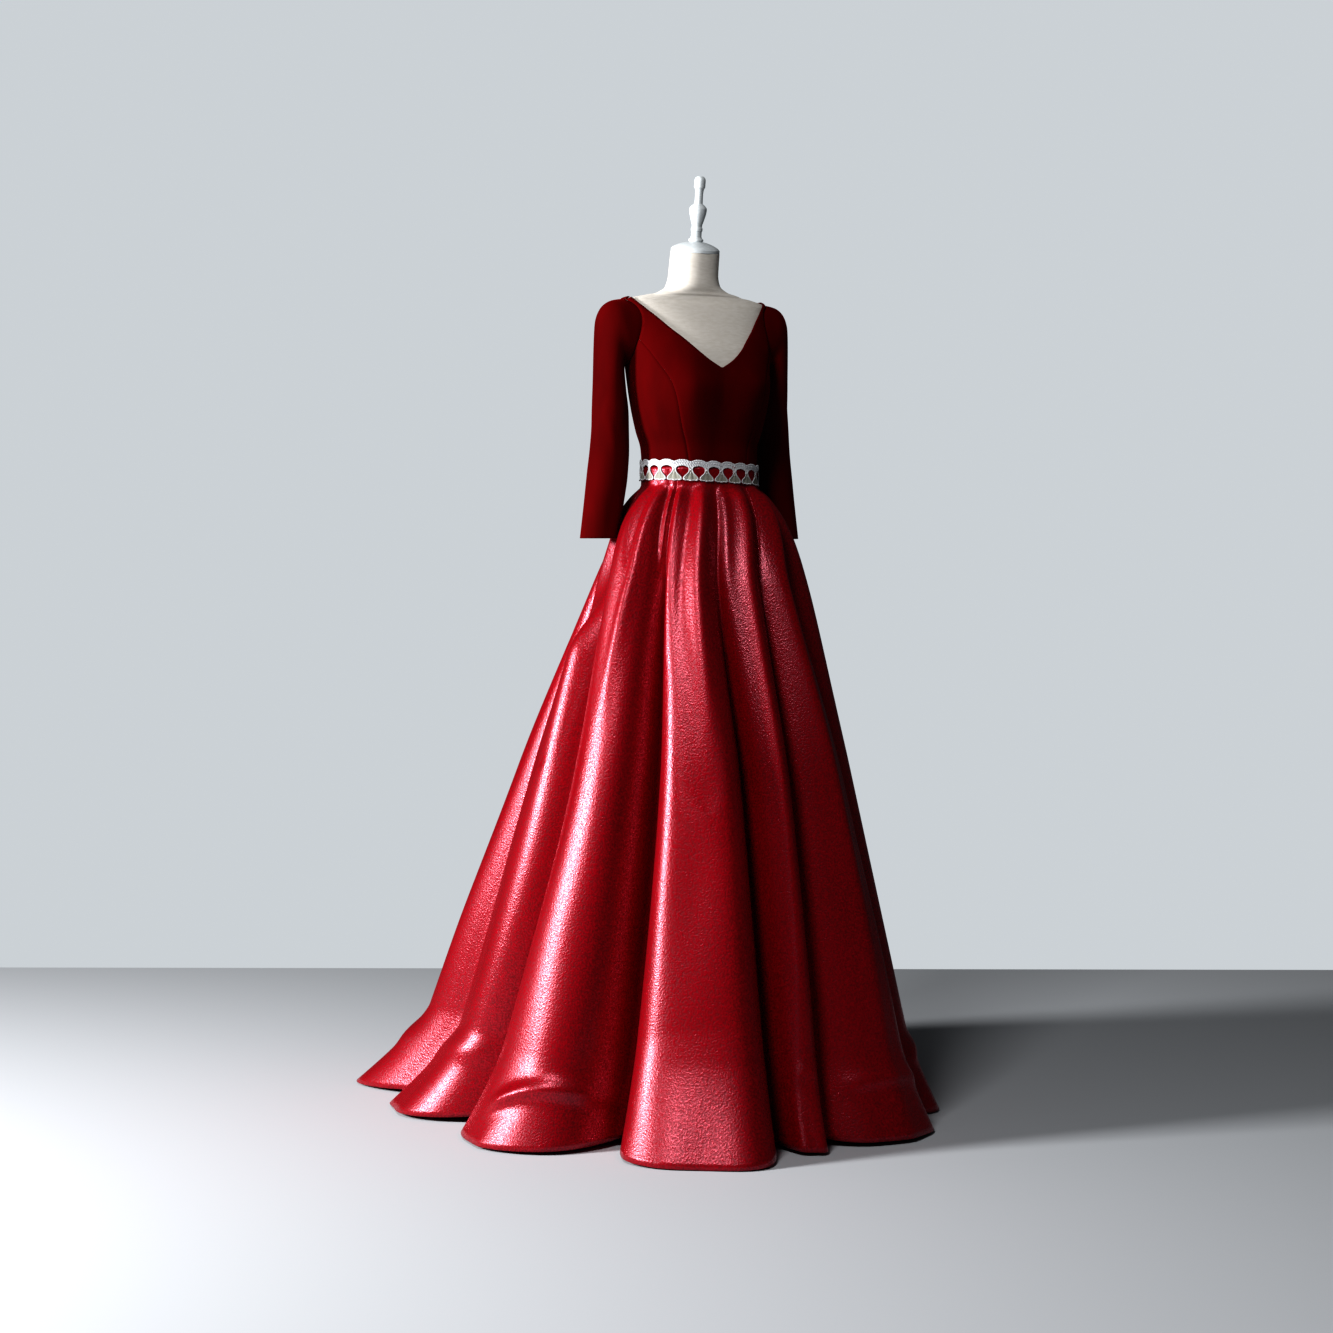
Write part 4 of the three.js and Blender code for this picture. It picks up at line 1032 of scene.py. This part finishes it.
# %% Zip
def make_zip_tape():
    """Woven polyester tape, dyed to match the velvet, with a 0.8 mm rib across."""
    material, tree, shader = new_material("zip_tape")
    place = object_place(tree)
    rib = add_node(tree, "ShaderNodeTexWave", [("Scale", 400.0)], [("Vector", place)],
                   bands_direction="Z").outputs["Fac"]
    tree.links.new(ramp(tree, rib, (0, "3c0206"), (1, "540409")), shader.inputs["Base Color"])
    set_shader(shader, Roughness=0.8, Specular_IOR_Level=0.1)
    bump_from(tree, shader, (rib, 0.2, 0.5))
    return material


ZIP = {"half_width": 2.95, "top": 1474, "lip": 0.9, "roundness": 0.7}
GROOVE = {"depth": 0.9, "width": 0.12}
PULL = {"below": 3, "length": 16, "half_width": 2.2, "shape": 1.4, "rise": 1.3, "edge": 0.25}
ZIP_CELLS = (25, 150)


def zip_net():
    """The zip's face: the body's surface beside the centre back, with two rounded lips and a
    groove, then the pull, whose half width is a drop's."""
    across, z = np.meshgrid(np.linspace(-1, 1, ZIP_CELLS[0]),
                            np.linspace(BODICE_LOW, ZIP["top"], ZIP_CELLS[1]))
    half_width = body_sizes(z)[0]
    turn = 180 + np.degrees(across * ZIP["half_width"] / half_width)
    points = body_point(turn, z)
    round_lips = np.abs(np.sin(np.pi * across)) ** ZIP["roundness"]
    lips = ZIP["lip"] * (round_lips - GROOVE["depth"] * bump(across, GROOVE["width"]))
    drop = np.clip((ZIP["top"] - PULL["below"] - z) / PULL["length"], 0, 1)
    drop_width = PULL["half_width"] * np.sin(np.pi * drop ** PULL["shape"]) / ZIP["half_width"]
    pull = PULL["rise"] * smooth_step(drop_width - np.abs(across), 0, PULL["edge"])
    return points + net_normals(points) * np.maximum(lips, pull)[..., None]


zip_tape = make_zip_tape()
tell(zip_tape)
zip_points = zip_net()
zip_piece = make_piece("zip_closed", zip_points, net_faces(*zip_points.shape[:2]), zip_tape)
stand_for(thicken(zip_piece, CLOTH), "zip", "back_zip")

# %% [markdown]
# ## The dress form
#
# The form is a stuffed shell covered in linen, cut off at the hips, with a painted wooden cap
# and finial on its neck. Scaling the bodice down would let the form poke through where the body
# is thin, so its surface is the body's, moved in along its normals by the cloth and a little air.


# %% Form materials
def make_linen():
    """Plain-woven linen, off-white: threads 0.9 mm apart, drawn at 1.8 mm so that they show,
    with thicker slubs."""
    material, tree, shader = new_material("linen_cover")
    place = object_place(tree)
    thread = [("Scale", 175.0), ("Distortion", 1.2), ("Detail", 2.0)]
    warp, weft = (
        add_node(tree, "ShaderNodeTexWave", thread, [("Vector", place)],
                 bands_direction=way).outputs["Fac"]
        for way in ("X", "Z")
    )
    weave = add_node(tree, "ShaderNodeMath", links=[(0, warp), (1, weft)], operation="MULTIPLY")
    slub = noise(tree, place, 14, 3, (1, 1, 4))
    tree.links.new(ramp(tree, slub, (0.3, "e6dfd5"), (0.7, "f1ebe3")), shader.inputs["Base Color"])
    set_shader(shader, Roughness=0.9, Specular_IOR_Level=0.2, Sheen_Weight=0.15)
    bump_from(tree, shader, (weave.outputs["Value"], 0.4, 0.5), (slub, 0.3, 0.3))
    return material


def make_painted(name, low, high, roughness, stretch):
    """Brushed paint: faint streaks along the turning, and a low orange peel 4 mm wide."""
    material, tree, shader = new_material(name)
    place = object_place(tree)
    streak = noise(tree, place, 8, 3, stretch)
    peel = noise(tree, place, 4, 2)
    tree.links.new(ramp(tree, streak, (0.3, low), (0.7, high)), shader.inputs["Base Color"])
    dull = remap(tree, peel, 0.3, 0.7, roughness, roughness + 0.12)
    tree.links.new(dull, shader.inputs["Roughness"])
    bump_from(tree, shader, (streak, 0.15, 0.4), (peel, 0.1, 0.3))
    return material


linen = make_linen()
white_paint = make_painted("painted_beech", "dce2e5", "eef2f4", 0.3, (1, 1, 5))
coated_steel = make_painted("powder_coated_steel", "d6d9dc", "e3e6e8", 0.45, (1, 1, 1))
tell(linen, white_paint, coated_steel)

# %% Torso
NECK_LEAN = 9
NECK_BASE_Z, NECK_TOP_Y, NECK_TOP_Z = 1566, 13, 1628
TORSO_LOW, UNDERSIDE_HIGH, SHOULDER_LOW = 926, 936, 1524
TORSO_COLUMNS = 120
UNDERSIDE_ROWS, TRUNK_ROWS, NECK_ROWS = 7, 199, 100
WAIST_REACH = 60
NECK_SEAM = {"z": 1552, "dip": 9, "depth": 0.9, "width": 1.6}
SEAM_WELT = {"above": 4, "height": 0.5, "width": 2.2}


def torso_net():
    """The body's surface moved in along its normal by the cloth and the air under it, leaning
    forward at the neck, with the sewn seam round the neck's base as a fine groove."""
    turn = np.arange(TORSO_COLUMNS) / TORSO_COLUMNS * 360
    heights = np.concatenate([
        np.linspace(TORSO_LOW, UNDERSIDE_HIGH, UNDERSIDE_ROWS, endpoint=False),
        np.linspace(UNDERSIDE_HIGH, SHOULDER_LOW, TRUNK_ROWS, endpoint=False),
        np.linspace(SHOULDER_LOW, NECK_TOP_Z, NECK_ROWS),
    ])
    turn, z = np.meshgrid(turn, heights)
    points = body_point(turn, z)
    normal = net_normals(points, closed=True)
    normal[[0, -1], :, 2] = 0
    normal /= np.linalg.norm(normal, axis=-1, keepdims=True)
    fit = np.minimum(1, np.abs(z - WAIST_Z) / WAIST_REACH)
    over_seam = z - NECK_SEAM["z"] + NECK_SEAM["dip"] * np.cos(np.radians(turn))
    groove = NECK_SEAM["depth"] * bump(over_seam, NECK_SEAM["width"])
    groove = groove - SEAM_WELT["height"] * bump(over_seam - SEAM_WELT["above"], SEAM_WELT["width"])
    points = points - normal * (CLOTH + mix(WAIST_GAP, FORM_GAP, fit) + groove)[..., None]
    lean = smooth_step(z, NECK_BASE_Z, NECK_TOP_Z)
    points[..., 2] += lean * (points[..., 1] - NECK_TOP_Y) * np.tan(np.radians(NECK_LEAN))
    return points


def capped(points):
    """A closed solid from a net of rings: the faces between them, and one flat ring of triangles
    drawn to the middle of each end."""
    rows, columns = points.shape[:2]
    faces = net_faces(rows, columns, closed=True)
    ends = np.stack([points[0].mean(axis=0), points[-1].mean(axis=0)])
    every = np.concatenate([points.reshape(-1, 3), ends])
    low, high = rows * columns, rows * columns + 1
    ring = np.arange(columns)
    after = (ring + 1) % columns
    last = (rows - 1) * columns
    bottom = np.stack([np.full(columns, low), after, ring], axis=-1)
    top = np.stack([np.full(columns, high), ring + last, after + last], axis=-1)
    triangles = np.concatenate([faces[:, [0, 1, 2]], faces[:, [0, 2, 3]], bottom, top])
    return every, triangles


torso = make_piece("linen_torso", *capped(torso_net()), linen)
stand_for(torso, "linen", "form_torso")

# %% [markdown]
# ## Turned parts
#
# A lathe makes the neck cap, the finial, the pole and the base: each is a profile of radii and
# heights carried round an axis. A screw modifier could carry it, but would leave the flat ends
# open, which the torso's own function closes here. A cubic through the profile's points gives the
# soft steps, and edges that must stay crisp have two points close together.

# %% Turned profiles, as radius and height in millimetres
CAP = np.array([
    (46, 0.3), (46.2, 1), (46.2, 5.4), (45.6, 6.2), (43, 9), (34, 14), (23, 18), (14, 20),
])
FINIAL = np.array([
    (13, 20.3), (14, 22), (14, 24), (11, 27), (9.8, 31), (9.8, 38), (11, 41), (11, 45), (9.5, 48),
    (12.5, 60), (16, 74), (16.5, 81), (13, 87), (7.8, 92), (7.4, 108), (8.2, 117), (10.5, 122),
    (10.5, 134), (9, 139), (5.5, 142),
])
POLE = np.array([(16, 14.3), (16, 20), (16, 900), (16, 925.7)])
BASE = np.array([(189.5, 0), (190, 0.6), (190, 10), (188.8, 12.8), (186, 14)])


def turned(name, profile, lean, slot, material, node, steps=6, sides=64):
    """A profile carried round the vertical, tilted forward by lean degrees about X and, if it
    leans, set on the neck. The radius is a cubic of the length along the profile."""
    length = np.concatenate([[0], np.cumsum(np.hypot(*np.diff(profile, axis=0).T))])
    numbers = np.arange(len(length))
    along = np.interp(np.arange(numbers[-1] * steps + 1) / steps, numbers, length)
    radius, height = np.moveaxis(smooth_through(length, profile, along), -1, 0)
    around = np.arange(sides) / sides * 2 * np.pi
    x, y = radius[:, None] * np.cos(around), radius[:, None] * np.sin(around)
    net = np.stack(np.broadcast_arrays(x, y, height[:, None]), axis=-1)
    if lean:
        sine, cosine = np.sin(np.radians(lean)), np.cos(np.radians(lean))
        tilt = np.array([[1, 0, 0], [0, cosine, sine], [0, -sine, cosine]])
        net = net @ tilt + [0, NECK_TOP_Y, NECK_TOP_Z]
    return stand_for(make_piece(name, *capped(net), material), slot, node)


turned("neck_cap", CAP, NECK_LEAN, "turned_wood", white_paint, "form_neck_cap")
turned("finial", FINIAL, NECK_LEAN, "turned_wood", white_paint, "form_finial")
turned("stand_pole", POLE, 0, "stand", coated_steel, "form_pole")
turned("stand_base", BASE, 0, "stand", coated_steel, "form_base")

# %% [markdown]
# ## Cloth sheets
#
# Each piece of cloth is printed with the rectangle that its pattern piece is cut from, and with
# the area of its net. Both could be typed in, but measuring them on the nets keeps them true when
# a size changes.


# %% Cloth areas
def face_area(piece):
    """Square metres of the net's outer face."""
    area = np.zeros(len(piece.data.polygons))
    piece.data.polygons.foreach_get("area", area)
    return area.sum()


def declare(pieces):
    """Prints the rectangle each piece unrolls to, and its own area, at most the rectangle's."""
    for piece in pieces:
        width, length = CUTS[piece.name]
        area = min(face_area(piece), width * length)
        print(f"cut {piece.name} {width:.3f} by {length:.3f} m, {area:.4f} m2")


declare(bodice)
declare(sleeves)
declare(skirt)
declare(belt)

# %% [markdown]
# ## Floor, light and camera
#
# The gown stands on a plain pale floor, square to the camera, before a pale backdrop. One soft
# box on the camera's left is the key, and a weaker one higher up brightens the hem. A bright sky
# would be simpler, but satin needs dark valleys to look deep, so there is almost no fill.

# %% Floor
floor_material, _, floor_shader = new_material("pale_floor")
set_shader(floor_shader, Base_Color=colour("c9ccd0"), Roughness=0.9)
VIEW_TURN = 27.0
FLOOR_HALF_WIDTH, FLOOR_HALF_DEPTH, FLOOR_Z = 2400, 1700, -0.5
corners = np.array([(-1, -1), (1, -1), (1, 1), (-1, 1)]) * [FLOOR_HALF_WIDTH, FLOOR_HALF_DEPTH]
view = np.radians(VIEW_TURN)
corners = corners @ np.array([[np.cos(view), -np.sin(view)], [np.sin(view), np.cos(view)]])
corners = np.column_stack([corners, np.full(len(corners), FLOOR_Z)])
floor = make_piece("floor", corners, np.array([[0, 1, 2, 3]]), floor_material)
print("floor", 2 * FLOOR_HALF_WIDTH, "by", 2 * FLOOR_HALF_DEPTH, "mm")

# %% Lights
TARGET = np.array([0.0, 0.0, 0.95])


def soft_box(name, turn, rise, distance, size, power):
    """A square area light at an angle round the gown from the camera's side, facing it. size and
    distance are in metres, and power in watts."""
    around, up = np.radians(VIEW_TURN + turn), np.radians(rise)
    away = np.array([-np.sin(around) * np.cos(up), -np.cos(around) * np.cos(up), np.sin(up)])
    light = bpy.data.lights.new(name, "AREA")
    light.size, light.energy = size, power
    box = bpy.data.objects.new(name, light)
    box.location = TARGET + away * distance
    box.rotation_euler = Vector(away).to_track_quat("Z", "Y").to_euler()
    bpy.context.scene.collection.objects.link(box)
    print(name, size, "m across,", power, "W")


soft_box("key", turn=70, rise=12, distance=4.2, size=0.7, power=210)
soft_box("high_side", turn=22, rise=42, distance=4.0, size=0.9, power=60)

# %% Sky and backdrop
# The sky that lights the gown is almost black, and the backdrop behind it is pale
PALE_GREY = colour("dfe4e8")
BACKDROP_STRENGTH, FILL_STRENGTH = 0.62, 0.05
world = bpy.data.worlds.new("studio")
world.use_nodes = True
sky = world.node_tree
backdrop = sky.nodes["Background"]
backdrop.inputs["Color"].default_value = PALE_GREY
backdrop.inputs["Strength"].default_value = BACKDROP_STRENGTH
fill = add_node(sky, "ShaderNodeBackground", [("Color", PALE_GREY), ("Strength", FILL_STRENGTH)])
seen = add_node(sky, "ShaderNodeLightPath").outputs["Is Camera Ray"]
both = add_node(sky, "ShaderNodeMixShader",
                links=[(0, seen), (1, fill.outputs[0]), (2, backdrop.outputs[0])])
sky.links.new(both.outputs[0], sky.nodes["World Output"].inputs["Surface"])
bpy.context.scene.world = world
bpy.context.scene.view_settings.view_transform = "Standard"
bpy.context.scene.view_settings.look = "High Contrast"
print("sky", BACKDROP_STRENGTH, "behind,", FILL_STRENGTH, "as fill")

# %% Camera
IMAGE = 1333
FOCAL_PIXELS = 2632
HORIZON, AXIS_PIXEL = 558, 698
SENSOR = 36
DISTANCE, EYE_HEIGHT = 5.0, 1.05
camera_data = bpy.data.cameras.new("camera")
camera_data.sensor_width = SENSOR
camera_data.lens = FOCAL_PIXELS / IMAGE * SENSOR
camera = bpy.data.objects.new("camera", camera_data)
look_down = np.degrees(np.arctan((IMAGE / 2 - HORIZON) / FOCAL_PIXELS))
look_left = np.degrees(np.arctan((AXIS_PIXEL - IMAGE / 2) / FOCAL_PIXELS))
camera.location = (-DISTANCE * np.sin(view), -DISTANCE * np.cos(view), EYE_HEIGHT)
camera.rotation_euler = np.radians([90 - look_down, 0, -VIEW_TURN + look_left])
bpy.context.scene.collection.objects.link(camera)
bpy.context.scene.camera = camera
print("camera lens", round(camera_data.lens, 1), "mm")
